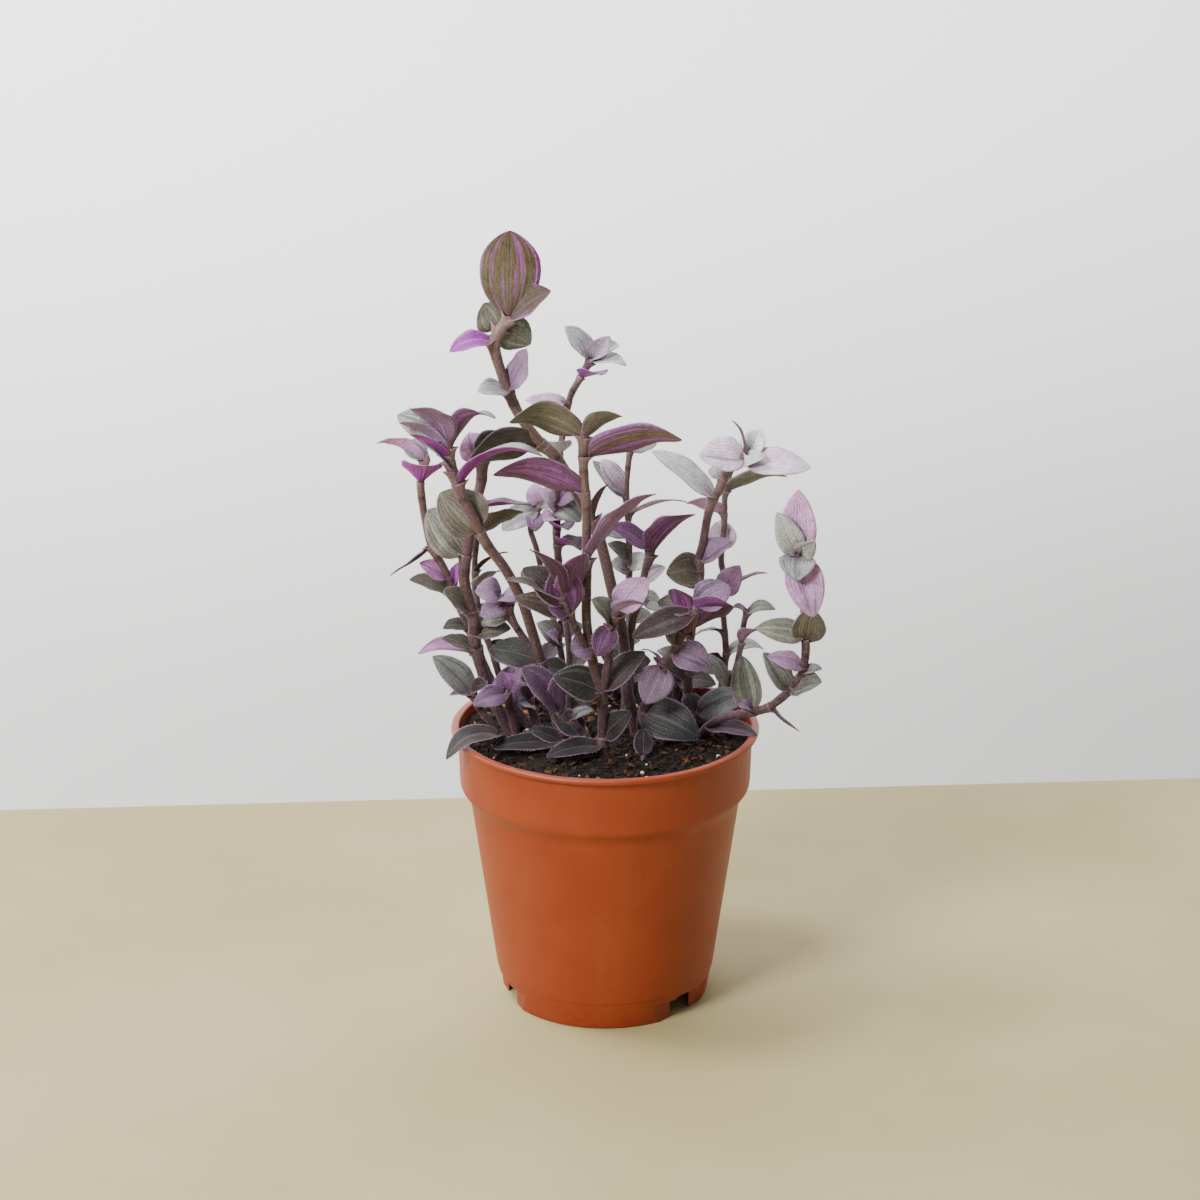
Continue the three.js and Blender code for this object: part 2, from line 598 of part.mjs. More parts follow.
function makePot() {
  const floorTop = pot.footHeight + pot.floor;
  const footInner = pot.footRadius - 1.7;
  const lipBottom = pot.height - pot.lipHeight;
  const shoulderMiddle = (pot.shoulderHeight + bandBottom) / 2;
  const shell = latheSolid(
    [
      [0, pot.footHeight],
      [footInner, pot.footHeight],
      [footInner, 0],
      [pot.footRadius, 0],
      [pot.seamRadius - 0.4, pot.seamHeight - 0.6],
      [pot.seamRadius, pot.seamHeight],
      [pot.shoulderRadius, pot.shoulderHeight],
      [pot.shoulderRadius + 1.2, shoulderMiddle],
      [pot.bandRadius, bandBottom],
      [pot.bandTopRadius, lipBottom],
      [pot.lipRadius - 0.4, lipBottom],
      [pot.lipRadius, pot.height - pot.lipHeight / 2],
      [pot.lipRadius - 0.4, pot.height],
      [pot.mouthRadius, pot.height],
      [innerRadius(bandBottom), bandBottom],
      [innerRadius(pot.shoulderHeight), pot.shoulderHeight],
      [innerRadius(floorTop), floorTop],
      [0, floorTop],
    ],
    pot.sides,
  );
  const cuts = [];
  const facetDistance = pot.footRadius * Math.cos(THREE.MathUtils.degToRad(notch.facetHalfAngle));
  for (let i = 0; i < notch.count; i += 1) {
    const turn = notch.firstAngle - 90 + (i * 360) / notch.count;
    cuts.push(boxSolid([14, 2 * notch.halfWidth, 2 * notch.height], [34, 0, 0], turn));
    cuts.push(boxSolid([8, 30, 2 * notch.facetHeight], [facetDistance + 4, 0, 0], turn));
    const hole = new THREE.CylinderGeometry(drain.radius, drain.radius, 8, drain.sides);
    hole.rotateX(Math.PI / 2);
    hole.translate(drain.distance, 0, floorTop);
    hole.rotateZ(THREE.MathUtils.degToRad(turn));
    cuts.push(asSolid(hole));
  }
  return cuts.reduce((solid, cut) => solid.subtract(cut), shell);
}

// ---------------------------------------------------------------- leaves and stalks
function asVector([x, y, z]) {
  return new THREE.Vector3(x, y, z);
}

function pointAt(joints, place) {
  const lower = Math.min(Math.floor(place), joints.length - 2);
  return joints[lower].clone().lerp(joints[lower + 1], place - lower);
}

// The blade's width along its length, as a share of its greatest width: it clasps the
// stalk, and the greater the neck, the farther out it is widest.
function bladeProfile(along, neck) {
  const widest = neck / (neck + bladeTaper);
  const peak = widest ** neck * (1 - widest) ** bladeTaper;
  const body = (along ** neck * (1 - along) ** bladeTaper) / peak;
  return bladeClasp * (1 - along) + (1 - bladeClasp / 2) * body;
}

function makeBlade(joint, girth, [reach, width, face, bow, fold, neck]) {
  const along = reach.clone().normalize();
  const base = joint.clone().addScaledVector(along, bladeSeat * girth);
  const length = reach.length() - bladeSeat * girth;
  const up = face.clone().addScaledVector(along, -face.dot(along)).normalize();
  const side = along.clone().cross(up);
  const isFolded = fold >= leastFold;
  const rings = (isFolded ? foldedBladeRings : flatBladeRings).map((s) => {
    const middle = base
      .clone()
      .addScaledVector(along, length * s)
      .addScaledVector(up, 4 * bow * s * (1 - s));
    const slope = (4 * bow * (1 - 2 * s)) / length;
    const normal = up.clone().addScaledVector(along, -slope).normalize();
    const half = Math.max(bladeProfile(s, neck) * width, bladeTipWidth) / 2;
    const angle = isFolded ? THREE.MathUtils.degToRad(fold * (1 - 0.6 * s)) : 0;
    const place = (t, lift) =>
      middle
        .clone()
        .addScaledVector(side, t * half * Math.cos(angle))
        .addScaledVector(normal, Math.abs(t) * half * Math.sin(angle) + lift);
    const skin = bladeThickness / 2;
    const across = isFolded ? [-1, 0, 1] : [-1, 1];
    const upper = across.map((t) => place(t, skin));
    const lower = across.map((t) => place(t, -skin)).reverse();
    return [...upper, ...lower];
  });
  return loft(rings, rings[0].length / 2);
}

// A tapering tube through the points, its rings carried along the path without
// twisting. `grow` thickens it all over.
function makeStalk(points, girth, grow = 0) {
  const last = points.length - 1;
  let across = new THREE.Vector3(1, 0, 0);
  const rings = points.map((point, i) => {
    const before = points[Math.max(i - 1, 0)];
    const after = points[Math.min(i + 1, last)];
    const along = after.clone().sub(before).normalize();
    across = across.clone().addScaledVector(along, -across.dot(along)).normalize();
    const other = along.clone().cross(across);
    const radius = (girth / 2) * (1 - (1 - stalkTaper) * (i / last)) + grow;
    return Array.from({ length: stalkSides }, (_, k) => {
      const angle = (2 * Math.PI * k) / stalkSides;
      return point
        .clone()
        .addScaledVector(across, radius * Math.cos(angle))
        .addScaledVector(other, radius * Math.sin(angle));
    });
  });
  return loft(rings);
}

// The point at a distance past `end`, on the line that comes from `before`.
function beyond(before, end, distance) {
  return end.clone().addScaledVector(end.clone().sub(before).normalize(), distance);
}

// A shoot's joints, with a blunt growing tip past the last one and, where it stands in
// the soil, its buried end.
function stalkPath({ girth, joints }) {
  const points = joints.map(asVector);
  const path = [...points, beyond(points.at(-2), points.at(-1), stalkTip * girth)];
  return standsInSoil(joints) ? [beyond(points[1], points[0], rootDepth), ...path] : path;
}

function makeShoot(shoot) {
  const points = shoot.joints.map(asVector);
  let solid = makeStalk(stalkPath(shoot), shoot.girth);
  for (const [joint, reach, width, face, bow, fold, neck] of shoot.leaves) {
    const form = [asVector(reach), width, asVector(face), bow, fold, neck];
    solid = solid.add(makeBlade(pointAt(points, joint), shoot.girth, form));
  }
  return solid;
}

function standsInSoil(joints) {
  return joints[0][2] < soil.level;
}

function makePlants() {
  const plants = new Map();
  for (const shoot of shoots) {
    const solid = makeShoot(shoot);
    const grown = plants.get(shoot.node);
    plants.set(shoot.node, grown ? grown.add(solid) : solid);
  }
  return plants;
}

// ---------------------------------------------------------------- soil
function soilHeight(x, y) {
  const radius = Math.hypot(x, y) / pot.mouthRadius;
  const waves =
    Math.sin(0.31 * x + 1.1) * Math.cos(0.27 * y - 0.4) + 0.6 * Math.sin(0.83 * x - 0.71 * y);
  return soil.level + soil.mound * (1 - radius * radius) + soil.relief * waves;
}

// Bark and white perlite that stick out of the soil, spread by the golden angle.
function makeGrain(index) {
  const angle = index * 2.39996;
  const distance = 43 * Math.sqrt((index + 0.5) / soil.grains);
  const size = soil.grainSize * (0.7 + 0.5 * Math.abs(Math.sin(3.7 * index)));
  const grain = new THREE.OctahedronGeometry(size, 0);
  grain.scale(1.2, 0.9, 0.6);
  grain.rotateZ(1.9 * index);
  const x = distance * Math.cos(angle);
  const y = distance * Math.sin(angle);
  grain.translate(x, y, soilHeight(x, y));
  return asSolid(grain);
}

function soilRing(radius, heightAt) {
  return Array.from({ length: pot.sides }, (_, k) => {
    const angle = (2 * Math.PI * k) / pot.sides;
    const x = radius * Math.sin(angle);
    const y = radius * Math.cos(angle);
    return new THREE.Vector3(x, y, heightAt(x, y));
  });
}

function makeSoil() {
  const bottom = pot.footHeight + pot.floor + clearance;
  const edge = soil.level - 2;
  const wall = [bottom, pot.shoulderHeight, bandBottom, edge].map((height) =>
    soilRing(innerRadius(height) - clearance, () => height),
  );
  const rim = innerRadius(edge) - clearance;
  const surface = [rim, ...soil.rings].map((radius) => soilRing(radius, soilHeight));
  let solid = loft([...wall, ...surface].reverse());
  for (let i = 0; i < soil.grains; i += 1) {
    solid = solid.add(makeGrain(i));
  }
  for (const shoot of shoots) {
    if (standsInSoil(shoot.joints)) {
      solid = solid.subtract(makeRootHole(shoot));
    }
  }
  return solid;
}

function makeRootHole(shoot) {
  const [buried, ...above] = stalkPath(shoot);
  return makeStalk([beyond(above[0], buried, clearance), ...above], shoot.girth, clearance);
}

// ---------------------------------------------------------------- the finished part
const finishes = {
  pot: { color: 0xa8512d, roughness: 0.5, metalness: 0 },
  soil: { color: 0x2b1d16, roughness: 0.95, metalness: 0 },
  plant: { color: 0x7d6a78, roughness: 0.6, metalness: 0 },
};

const model = new THREE.Group();

function addPiece(name, solid, finish) {
  const material = new THREE.MeshStandardMaterial(finishes[finish]);
  const mesh = new THREE.Mesh(asGeometry(biggestBody(solid)), material);
  mesh.name = name;
  model.add(mesh);
}

addPiece("pot", makePot(), "pot");
addPiece("potting_soil", makeSoil(), "soil");
for (const [name, solid] of makePlants()) {
  addPiece(name, solid, "plant");
}

export default model;
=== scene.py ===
"""A young purple tradescantia in a terracotta-coloured nursery pot.

The tables are in millimetres and the meshes in metres. +Z is up, the viewer stands on the
-Y side, +X is to the viewer's right, and the origin is on the table under the pot's middle.
"""
import math
import random
from collections import namedtuple

import bpy
import numpy as np
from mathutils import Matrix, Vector, noise


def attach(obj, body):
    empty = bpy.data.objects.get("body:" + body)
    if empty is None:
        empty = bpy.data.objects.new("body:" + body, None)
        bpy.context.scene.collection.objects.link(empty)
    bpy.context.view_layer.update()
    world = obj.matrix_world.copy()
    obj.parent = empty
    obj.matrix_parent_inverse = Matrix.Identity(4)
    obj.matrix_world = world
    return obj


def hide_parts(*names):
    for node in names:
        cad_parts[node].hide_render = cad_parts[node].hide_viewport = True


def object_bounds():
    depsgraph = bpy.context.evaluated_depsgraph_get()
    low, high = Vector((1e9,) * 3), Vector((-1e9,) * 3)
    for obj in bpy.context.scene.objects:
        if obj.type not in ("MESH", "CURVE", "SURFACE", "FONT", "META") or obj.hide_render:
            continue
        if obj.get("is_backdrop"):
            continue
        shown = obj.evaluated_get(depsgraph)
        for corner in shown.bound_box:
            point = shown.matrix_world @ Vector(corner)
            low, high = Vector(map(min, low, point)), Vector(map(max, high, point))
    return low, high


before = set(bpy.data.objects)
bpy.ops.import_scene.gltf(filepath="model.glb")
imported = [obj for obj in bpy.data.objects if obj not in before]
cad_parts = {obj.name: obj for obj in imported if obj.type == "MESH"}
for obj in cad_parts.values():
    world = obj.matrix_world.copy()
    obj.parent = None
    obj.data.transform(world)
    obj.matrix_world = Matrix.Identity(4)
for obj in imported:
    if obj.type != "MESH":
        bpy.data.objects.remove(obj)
cad_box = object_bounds()

MM = 0.001
SEED = 7
ABOUT_A_TURN = 6.3

# ------------------------------------------------------------------ pot, millimetres, degrees
POT_HEIGHT = 95.5
LIP_RADIUS = 51.3
LIP_HEIGHT = 1.7
MOUTH_RADIUS = 48.6
BAND_TOP_RADIUS = 49.1
BAND_RADIUS = 48.6
BAND_BOTTOM = 76.5
SHOULDER_HEIGHT = 70.5
SHOULDER_RADIUS = 45.2
SEAM_HEIGHT = 10.0
SEAM_RADIUS = 36.9
FOOT_RADIUS = 34.8
FOOT_WALL = 1.7
FOOT_HEIGHT = 8.5
WALL = 1.2
FLOOR = 1.5
POT_SIDES = 160
NOTCH_ANGLES = (49.0, 169.0, 289.0)
NOTCH_WIDTH = 10.0
NOTCH_HEIGHT = 8.0
NOTCH_ROUNDING = 1.4
NOTCH_REACH = (27.0, 41.0)
FACET_WIDTH = 30.0
FACET_HEIGHT = 7.2
FACET_ROUNDING = 2.0
FACET_HALF_ANGLE = 18.0
DRAIN_RADIUS = 3.6
DRAIN_DISTANCE = 24.0
DRAIN_SIDES = 40
FACET_DEPTH = 8.0
CUT_OVERLAP = 3.0
CUT_MARGIN = 2.0
CREASE_ANGLE = 38.0

# ------------------------------------------------------------------ soil, millimetres
SOIL_LEVEL = 90.2
SOIL_MOUND = 1.3
SOIL_RELIEF = 0.7
SOIL_BANK = 2.6
SOIL_SINK = 0.35
SOIL_HUB = 0.4
SOIL_SIDES = 150
SOIL_RINGS = 46
SCATTER_RADIUS = 46.0
CRUMBS = 3000
BARK_CHIPS = 420
LOOSE_PERLITE = 34
LUMP_TILT = 0.6
CLEARANCE = 0.3

# ------------------------------------------------------------------ stalks, millimetres
ROOT_DEPTH = 9.0
STALK_SIDES = 14
STALK_TAPER = 0.78
STALK_TIP = 0.5
STALK_STEP = 0.8
STALK_TIP_ROUNDING = 1.2
SWELLING = 0.1
SWELLING_LENGTH = 1.5
JOINT_RING = 0.6
LOWEST_RING = 0.4
SHEATH_LENGTH = 5.0
SHEATH_OVERLAP = 0.5
# The stalks' painted shade near the soil fades out over this height.
STALK_SHADE_HEIGHT = 120.0

# ------------------------------------------------------------------ leaves, millimetres, degrees
BLADE_SEAT = 0.36
BLADE_TAPER = 0.72
BLADE_FOOT_SHARE = 0.22
BLADE_FORM_SHARE = 0.88
BLADE_COLUMNS = 13
BLADE_STEP = 1.1
BLADE_THICKNESS = 0.56
EDGE_THICKNESS = 0.26
TIP_THINNING = 0.45
LEAST_HALF_WIDTH = 0.16
LEAST_FOLD = 12
ROUND_SHARE = 0.65
KEEL_SHARE = 0.35
RIPPLE_HEIGHT = 0.05
RIPPLE_PITCH = 22
GROOVE_DEPTH = 0.22
GROOVE_WIDTH = 0.09
UNFOLDING = 0.6
MARGIN_WAVES = (1.3, 2.4)
WAVE_HEIGHTS = (0.03, 0.1)
SWAY = 0.05
TIP_DIPS = (0.02, 0.07)
CLASP_SHARE = 0.06
CLASP_REACH = 0.8
CLASP_WIDTH = 0.9
CLASP_TURN = 1.1
DROOP_START = 0.62
# Painted shade: leaves low above the soil are painted darker, down to SHADE_AT_SOIL of their
# colour at the soil, fading out SHADE_HEIGHT above it.
SHADE_HEIGHT = 75
SHADE_AT_SOIL = 0.4
SHADES = (0.85, 1.1)
HAIR_GAP = 0.75
HAIR_RADIUS = 0.035
HAIR_LENGTHS = (0.35, 0.8)
HAIR_SEAT = 0.08

# ------------------------------------------------------------------ stage, millimetres, degrees
STAGE_SLANT = 4.0
TABLE_HALF_WIDTH = 3000
TABLE_FRONT = -2500
TABLE_DEPTH = 170.0
TABLE_DROP = 0.05
WALL_DISTANCE = 1300.0
WALL_HALF_WIDTH = 6000
WALL_BOTTOM = -3000
WALL_TOP = 4000

# ------------------------------------------------------------------ light
# The wall's glow is painted light, standing in for the light that falls on it.
WALL_GLOW = 2.6
ROOM_COLOUR = (0.93, 0.94, 0.96, 1.0)
ROOM_STRENGTH = 0.19

# ---------------------------------------- camera: metres, degrees, its lens in millimetres
CAMERA_PLACE = (-0.0017, -0.934, 0.455)
CAMERA_PITCH = 18.7
CAMERA_LENS = 90.0
CAMERA_SENSOR = 36.0

# ------------------------------------------------------------------ leaf colours
# Each finish of a leaf's face: its ground, its stripes, and how much the stripes cover.
FROST = ("ced1d2", "8f9a9b", 0.30)
SILVER = ("97999a", "62706b", 0.38)
SAGE = ("6c6e63", "94998a", 0.35)
# MOSS, TEAL and UMBER, used mostly on leaves near the soil, are painted darker than those leaves'
# own colour: partly painted shade.
MOSS = ("191611", "352f26", 0.30)
TEAL = ("2f322f", "545b54", 0.25)
OLIVE = ("5d594b", "75725f", 0.35)
FERN = ("4b483f", "666658", 0.35)
VIOLET = ("643d62", "935aa6", 0.35)
UMBER = ("30241f", "4f434a", 0.35)
PLUM = ("5f2f5a", "84427f", 0.35)
WINE = ("34142c", "562a4e", 0.30)
GRAPE = ("4b2348", "74397a", 0.40)
DUSK = ("443d31", "63594b", 0.35)
STRIPE = ("574936", "8c52a3", 0.38)
ZEBRA = ("5d553d", "aa58b9", 0.34)
ZEBRAPINK = ("b272b0", "54594c", 0.30)
MAUVE = ("75587a", "95719a", 0.35)
LILAC = ("927797", "6a526f", 0.35)
PINK = ("c297c4", "8f6a94", 0.30)
BLUSH = ("d8c4dc", "958a9e", 0.28)
MAGENTA = ("8d2a99", "a85db1", 0.32)

# ------------------------------------------------------------------ the plant
# A leaf has the joint that it grows from, the way from there to its tip, its width, the side
# its upper face looks to, and its upper face's colours. Where they aren't the usual ones, it
# also has the degrees that its halves fold up, how far its midrib bows to the upper side, its
# underside's colours, and its neck: how much slenderer it is below its widest place.
Leaf = namedtuple(
    "Leaf", "joint reach width face upper fold bow under neck", defaults=(15, 1, PLUM, 0.55)
)
SHOOTS = []


def shoot(node, girth, joints, leaves):
    """Lists a shoot: its node, its girth, its joints from its foot up as (right, back, up),
    and its leaves. Joints are counted from 0, and a leaf may grow from between two of them."""
    SHOOTS.append((node, girth, joints, [Leaf(*values) for values in leaves]))


def low_pair(right):
    """Two low leaves, one to each side; the left one is mossy."""
    return [
        (1, (-14, -4, 1), 9, (0, -5, 7), MOSS, 12, 2, UMBER),
        (1, (13, -4, 1), 9, (0, -5, 7), right, 12, 2, UMBER),
    ]


shoot("stem_tall", 4.1, [
    (11, 3, 89), (7, 3, 108), (6, 3, 124), (2, 2, 143), (-2, 1, 160), (-7, 0, 171),
    (-15, -2, 187), (-22, -4, 195), (-29, -5, 206), (-35, -6, 224), (-34, -6, 230),
    (-31, -6, 234),
], [
    (11.1, (1, -3, 30), 20, (0, 9, 1), SILVER, 10, 1, ZEBRA, 0.85),
    (11.1, (13, -4, 11), 14, (-6, -5, 5), STRIPE, 32, 0, OLIVE, 0.5),
    (10.2, (-5, 4, 8), 12.5, (0, 9, 1), OLIVE, 8, 0, FERN, 0.42),
    (9.4, (-14, -4, -2), 9, (-2, -5, 8), MAGENTA, 25, 2, MAGENTA, 0.6),
    (10.4, (9, 4, -6), 12.5, (0, 9, 1), OLIVE, 8, 0, SAGE, 0.42),
    (8.3, (-9, -8, 2), 8, (0, -6, 7), FROST, 15, 1, PLUM, 0.6),
    (6.8, (-23, -13, -1), 14, (1, 8, 3), UMBER, 15, 2, FERN),
    (6.6, (-22, 6, 3), 8, (0, 4, 8), WINE, 20, 1, WINE),
    (4.5, (5, -3, 14), 6, (-6, 4, 4), PLUM, 30, 1, STRIPE),
    (8.3, (6, -6, 15), 9.5, (-5, -6, 3), LILAC, 15, -1, PINK, 0.6),
])
shoot("stem_back_middle", 2.7, [
    (-12, 15, 89), (-12, 16, 101), (-12, 17, 115), (-14, 18, 133), (-16, 18, 152), (-16, 18, 165),
    (-15, 18, 183), (-12, 18, 201), (-9, 18, 208), (-5, 18, 215),
], [
    (9.1, (-8, 2, 11), 9, (5, -6, 5), FROST, 20, 1, PLUM, 0.6),
    (9.1, (9, -3, 6), 9, (-3, -5, 6), FROST, 40, 1, PLUM, 0.5),
    (8.9, (12, -6, 1), 7, (0, -3, 8), FROST, 15, 2),
    (8.2, (7, -9, 4), 12, (-1, 4, 8), MAGENTA, 28, 0, MAGENTA, 1),
    (7, (-14, -3, 2), 8, (0, -4, 8), BLUSH, 20, -1, MAGENTA),
    (6, (-1, -7, 7), 10, (0, 4, 8), PINK, 30, 0, FROST, 1),
    (5, (8, -5, -3), 9, (0, -6, 6), SILVER, 20, 2, MAGENTA),
    (4.7, (-4, -7, 2), 8, (0, -5, 8), PINK, 25),
    (4.4, (4, -9, 3), 10, (0, 2, 9), PLUM, 35, 1, MAGENTA),
    (4, (8, -5, 0), 12, (0, 2, 9), WINE, 40, 1, MAGENTA),
    (3, (5, 8, 5), 9, (-1, -6, 6), SAGE),
    (0.5, (8, -4, 3), 6, (0, -5, 8), FERN, 20),
    (9.1, (6, -5, 9), 7, (2, -7, 5), BLUSH, 15, 1, PINK),
    (5.1, (10, -5, 10), 9, (-3, -6, 6), LILAC, 15, 1, LILAC),
    (5, (-5, -4, 7), 8, (2, -6, 6), BLUSH, 15, 1, PINK),
    (1.5, (-13, -5, 3), 9, (0, -5, 7), FERN, 15, 1, UMBER),
    (1.6, (6, -5, 6), 8, (0, -6, 6), OLIVE, 15, 1, UMBER),
])
shoot("stem_centre", 3.5, [
    (-1, -17, 89), (-1, -17, 98), (-1, -18, 111), (-4, -19, 124), (-6, -20, 138), (-6, -21, 151),
    (-6, -21, 167), (-6, -21, 178), (-7, -21, 191), (-7, -21, 202),
], [
    (8.8, (-23, -7, 8), 14, (0, 7, 5), SAGE, 12, 4, OLIVE, 0.6),
    (8.7, (12, -3, 9), 10.5, (-3, 6, 5), SAGE, 20, 2, OLIVE, 0.7),
    (8.2, (31, -8, 9), 13, (0, 7, 5), SAGE, 15, 3, STRIPE, 0.6),
    (7.3, (-29, -8, 10), 13.5, (0, 7, 5), SAGE, 15, 3, VIOLET, 0.6),
    (5.5, (21, -4, 25), 12, (-6, 5, 4), PLUM, 20, 2, MAUVE, 0.75),
    (2.2, (-15, -5, 7), 12, (2, -7, 5), TEAL, 10),
    (2.2, (14, 3, 13), 10, (-5, -6, 4), UMBER, 10),
    (0.9, (9, -3, 10), 9, (-4, -7, 4), MOSS, 10),
    (0.6, (-18, -9, 0), 8, (0, -4, 8), MOSS, 10, 2),
    (3.4, (-6, -4, 0), 10, (0, -7, 5), MAUVE, 15, 1, MAUVE, 0.45),
])
shoot("stem_centre", 3, [
    (-1, -18, 111), (1, -21, 125), (2, -22, 136), (4, -24, 145),
], [
    (2.8, (10, 1, 10), 10.5, (-3, -8, 2), PINK, 15, 1, LILAC, 0.5),
    (2.5, (10, -4, 6), 12, (-1, 4, 8), MOSS, 30, 1, LILAC),
    (2.2, (-5, -5, -9), 8.5, (-2, -8, 3), GRAPE, 10, 1, MAUVE),
    (2.1, (-6, -4, 11), 10, (4, -4, 6), SAGE, 25, 1, MAUVE, 0.9),
])
shoot("stem_centre", 2.6, [
    (-5, -19, 126), (-9, -23, 136), (-13, -26, 146), (-14, -27, 150),
], [
    (1.6, (4, -7, 23), 14, (-4, 5, 5), MAGENTA, 30, 1, VIOLET, 0.9),
    (2, (-13, 2, 12), 11, (5, -7, 3), UMBER, 15, 2, LILAC),
    (2.2, (-18, -5, 10), 5, (0, -3, 9), OLIVE, 20, 1, LILAC),
    (1.5, (-7, -3, 5), 7, (2, -6, 5), VIOLET, 20, 1, WINE),
    (2.6, (-9, -7, 19), 13, (5, 4, 5), MAGENTA, 28, 1, WINE, 0.9),
    (1.6, (-17, -4, 7), 8.5, (0, -6, 6), DUSK),
    (1.6, (-3, -3, 17), 13, (0, -6, 3), GRAPE, 12, 1, GRAPE, 0.9),
])
shoot("stem_left_front", 3.8, [
    (-14, 0, 89), (-16, -2, 97), (-18, -6, 108), (-21, -12, 122), (-24, -15, 134),
    (-27, -18, 145), (-32, -20, 156), (-38, -21, 165), (-42, -22, 174), (-46, -22, 182),
    (-49, -22, 192), (-50, -22, 202),
], [
    (10.4, (15, -8, 13), 11, (-1, 4, 8), SAGE, 28, 5, VIOLET, 0.85),
    (10.7, (-16, 5, 7), 11, (2, -7, 5), SILVER, 12, 1, WINE, 0.5),
    (10.2, (-15, -5, 13), 9, (4, 6, 5), SILVER, 15, 2, LILAC, 0.6),
    (10, (-12, -8, 12), 7, (4, 6, 4), ZEBRA, 15, 1, MAGENTA),
    (9.7, (-8, -4, 11), 7, (3, -3, 8), SAGE, 20, 1, MAGENTA),
    (9.3, (27, -6, 12), 12, (-3, 2, 9), SILVER, 30, 5, MAGENTA, 0.7),
    (7.4, (-13, 5, 12), 17, (2, -8, 3), OLIVE, 15, 1, PLUM, 0.5),
    (3, (-17, 6, 2), 11, (0, -7, 6), TEAL, 10, 2),
    (10.4, (-11, -8, 16), 16, (3, 5, 7), SILVER, 26, 2, MAUVE, 0.9),
])
shoot("stem_left_front", 2.6, [
    (-21, -11, 120), (-24, -9, 125), (-27, -8, 129), (-30, -8, 134), (-32, -8, 140),
    (-34, -9, 143),
], [
    (5, (-8, -3, 3), 10, (1, -6, 6), LILAC, 15, 2),
    (4.8, (6, -5, 1), 9, (0, -5, 8), LILAC, 15, 2),
    (4.2, (-8, -5, -3), 7, (0, -8, 4), LILAC, 10),
    (3.8, (6, -5, 4), 6, (-4, 5, 5), MAGENTA, 25, 1, MAGENTA),
    (3.3, (-10, 2, -3), 6, (0, -6, 7), SAGE),
])
shoot("stem_left_middle", 4.3, [
    (-30, -1, 89), (-34, -1, 98), (-38, -2, 106), (-41, -3, 117), (-43, -4, 127), (-43, -5, 134),
    (-46, -5, 148), (-44, -5, 163), (-42, -4, 173), (-40, -3, 181), (-40, -2, 189),
], [
    (9.6, (-4, 1, 10), 11, (1, -8, 3), PINK, 10),
    (9.6, (7, -3, 12), 12, (-3, 6, 5), WINE, 28, 1, TEAL, 0.9),
    (7.9, (17, -2, 2), 8, (0, 1, 9), LILAC, 30, 0),
    (6.5, (-12, 3, 15), 16, (3, -8, 2), SAGE, 12, 2),
    (5.2, (-9, -4, 9), 9, (3, -6, 6), OLIVE, 25),
    (4.2, (12, -2, 3), 8, (0, -6, 7), FERN, 12),
    (3.6, (-11, -4, 5), 6, (2, -5, 7), FERN, 15, 1, WINE),
])
shoot("stem_left_back", 2.4, [
    (-28, 13, 89), (-33, 12, 99), (-37, 11, 114), (-41, 10, 127), (-43, 9, 139), (-43, 8, 150),
    (-42, 7, 159),
], [
    (6, (15, -4, 10), 10, (-2, 6, 6), UMBER, 20, 1, OLIVE),
    (4.6, (11, -2, 8), 5, (-4, 3, 8), PLUM, 20, 1, WINE),
    (4, (8, -5, 9), 8, (-4, 5, 6), OLIVE, 20, 1, SILVER),
    (3, (5, 9, 4), 10, (0, -4, 8), MOSS),
    (2, (4, 3, 6), 9, (-1, -6, 6), TEAL),
])
shoot("stem_far_left", 3, [
    (-24, 6, 89), (-29, 7, 97), (-35, 8, 103), (-40, 8, 112), (-45, 7, 126), (-50, 6, 139),
    (-53, 5, 148), (-57, 4, 156), (-59, 4, 166), (-60, 4, 174), (-60, 4, 179), (-58, 4, 186),
], [
    (10.7, (-15, -4, 9), 8, (2, 6, 6), MAGENTA, 25, 2, PINK),
    (10.9, (-8, 4, 5), 7.5, (2, -6, 6), SILVER, 10),
    (9.7, (2, -9, 9), 15, (0, 5, 7), PINK, 30, 1, MAGENTA, 1),
    (7, (-14, -3, -8), 6, (-5, 2, 8), WINE, 20, -1, WINE),
    (5.6, (-9, -2, 6), 7, (3, -6, 5), ZEBRAPINK),
    (5.2, (2, 3, 8), 5, (-5, -6, 1), MAGENTA, 10, 0, MAGENTA),
    (5, (-14, -5, 7), 8.5, (0, -4, 8), OLIVE),
    (4.1, (-8, -4, 1), 6, (0, -4, 7), FERN),
    (3.4, (-20, -4, 2), 8, (0, -3, 8), ZEBRAPINK, 15, 4),
    (2, (7, 0, 11), 8, (0, -7, 4), PINK, 10),
])
shoot("stem_low_left", 2.6, [
    (-34, 0, 89), (-38, -1, 96), (-42, -2, 102), (-44, -4, 110),
], [
    (2.6, (-13, -2, 14), 10, (4, -7, 4), SILVER, 12, 1, LILAC, 0.6),
    (2.8, (5, -6, 4), 6, (-2, -6, 6), UMBER, 20),
    (2.5, (-8, -4, 2), 4, (0, -3, 9), LILAC, 20),
])
shoot("stem_lilac_left", 3, [
    (-28, -8, 89), (-31, -9, 102), (-32, -10, 110),
], [
    (2, (-11, -5, -2), 8, (0, -7, 6), MAUVE, 15, 2),
    (2, (-2, 3, 6), 8, (0, -8, 3), VIOLET, 10),
])
shoot("stem_cup_left", 2.8, [
    (-20, -1, 89), (-24, 0, 99), (-25, 0, 104),
], [
    (2, (0, -5, 7), 7, (0, 6, 5), WINE, 35, 0, MAUVE),
    (1.8, (-8, -1, 6), 8, (2, -7, 5), PINK),
    (1.5, (-4, -6, 3), 8, (0, -6, 7), BLUSH),
])
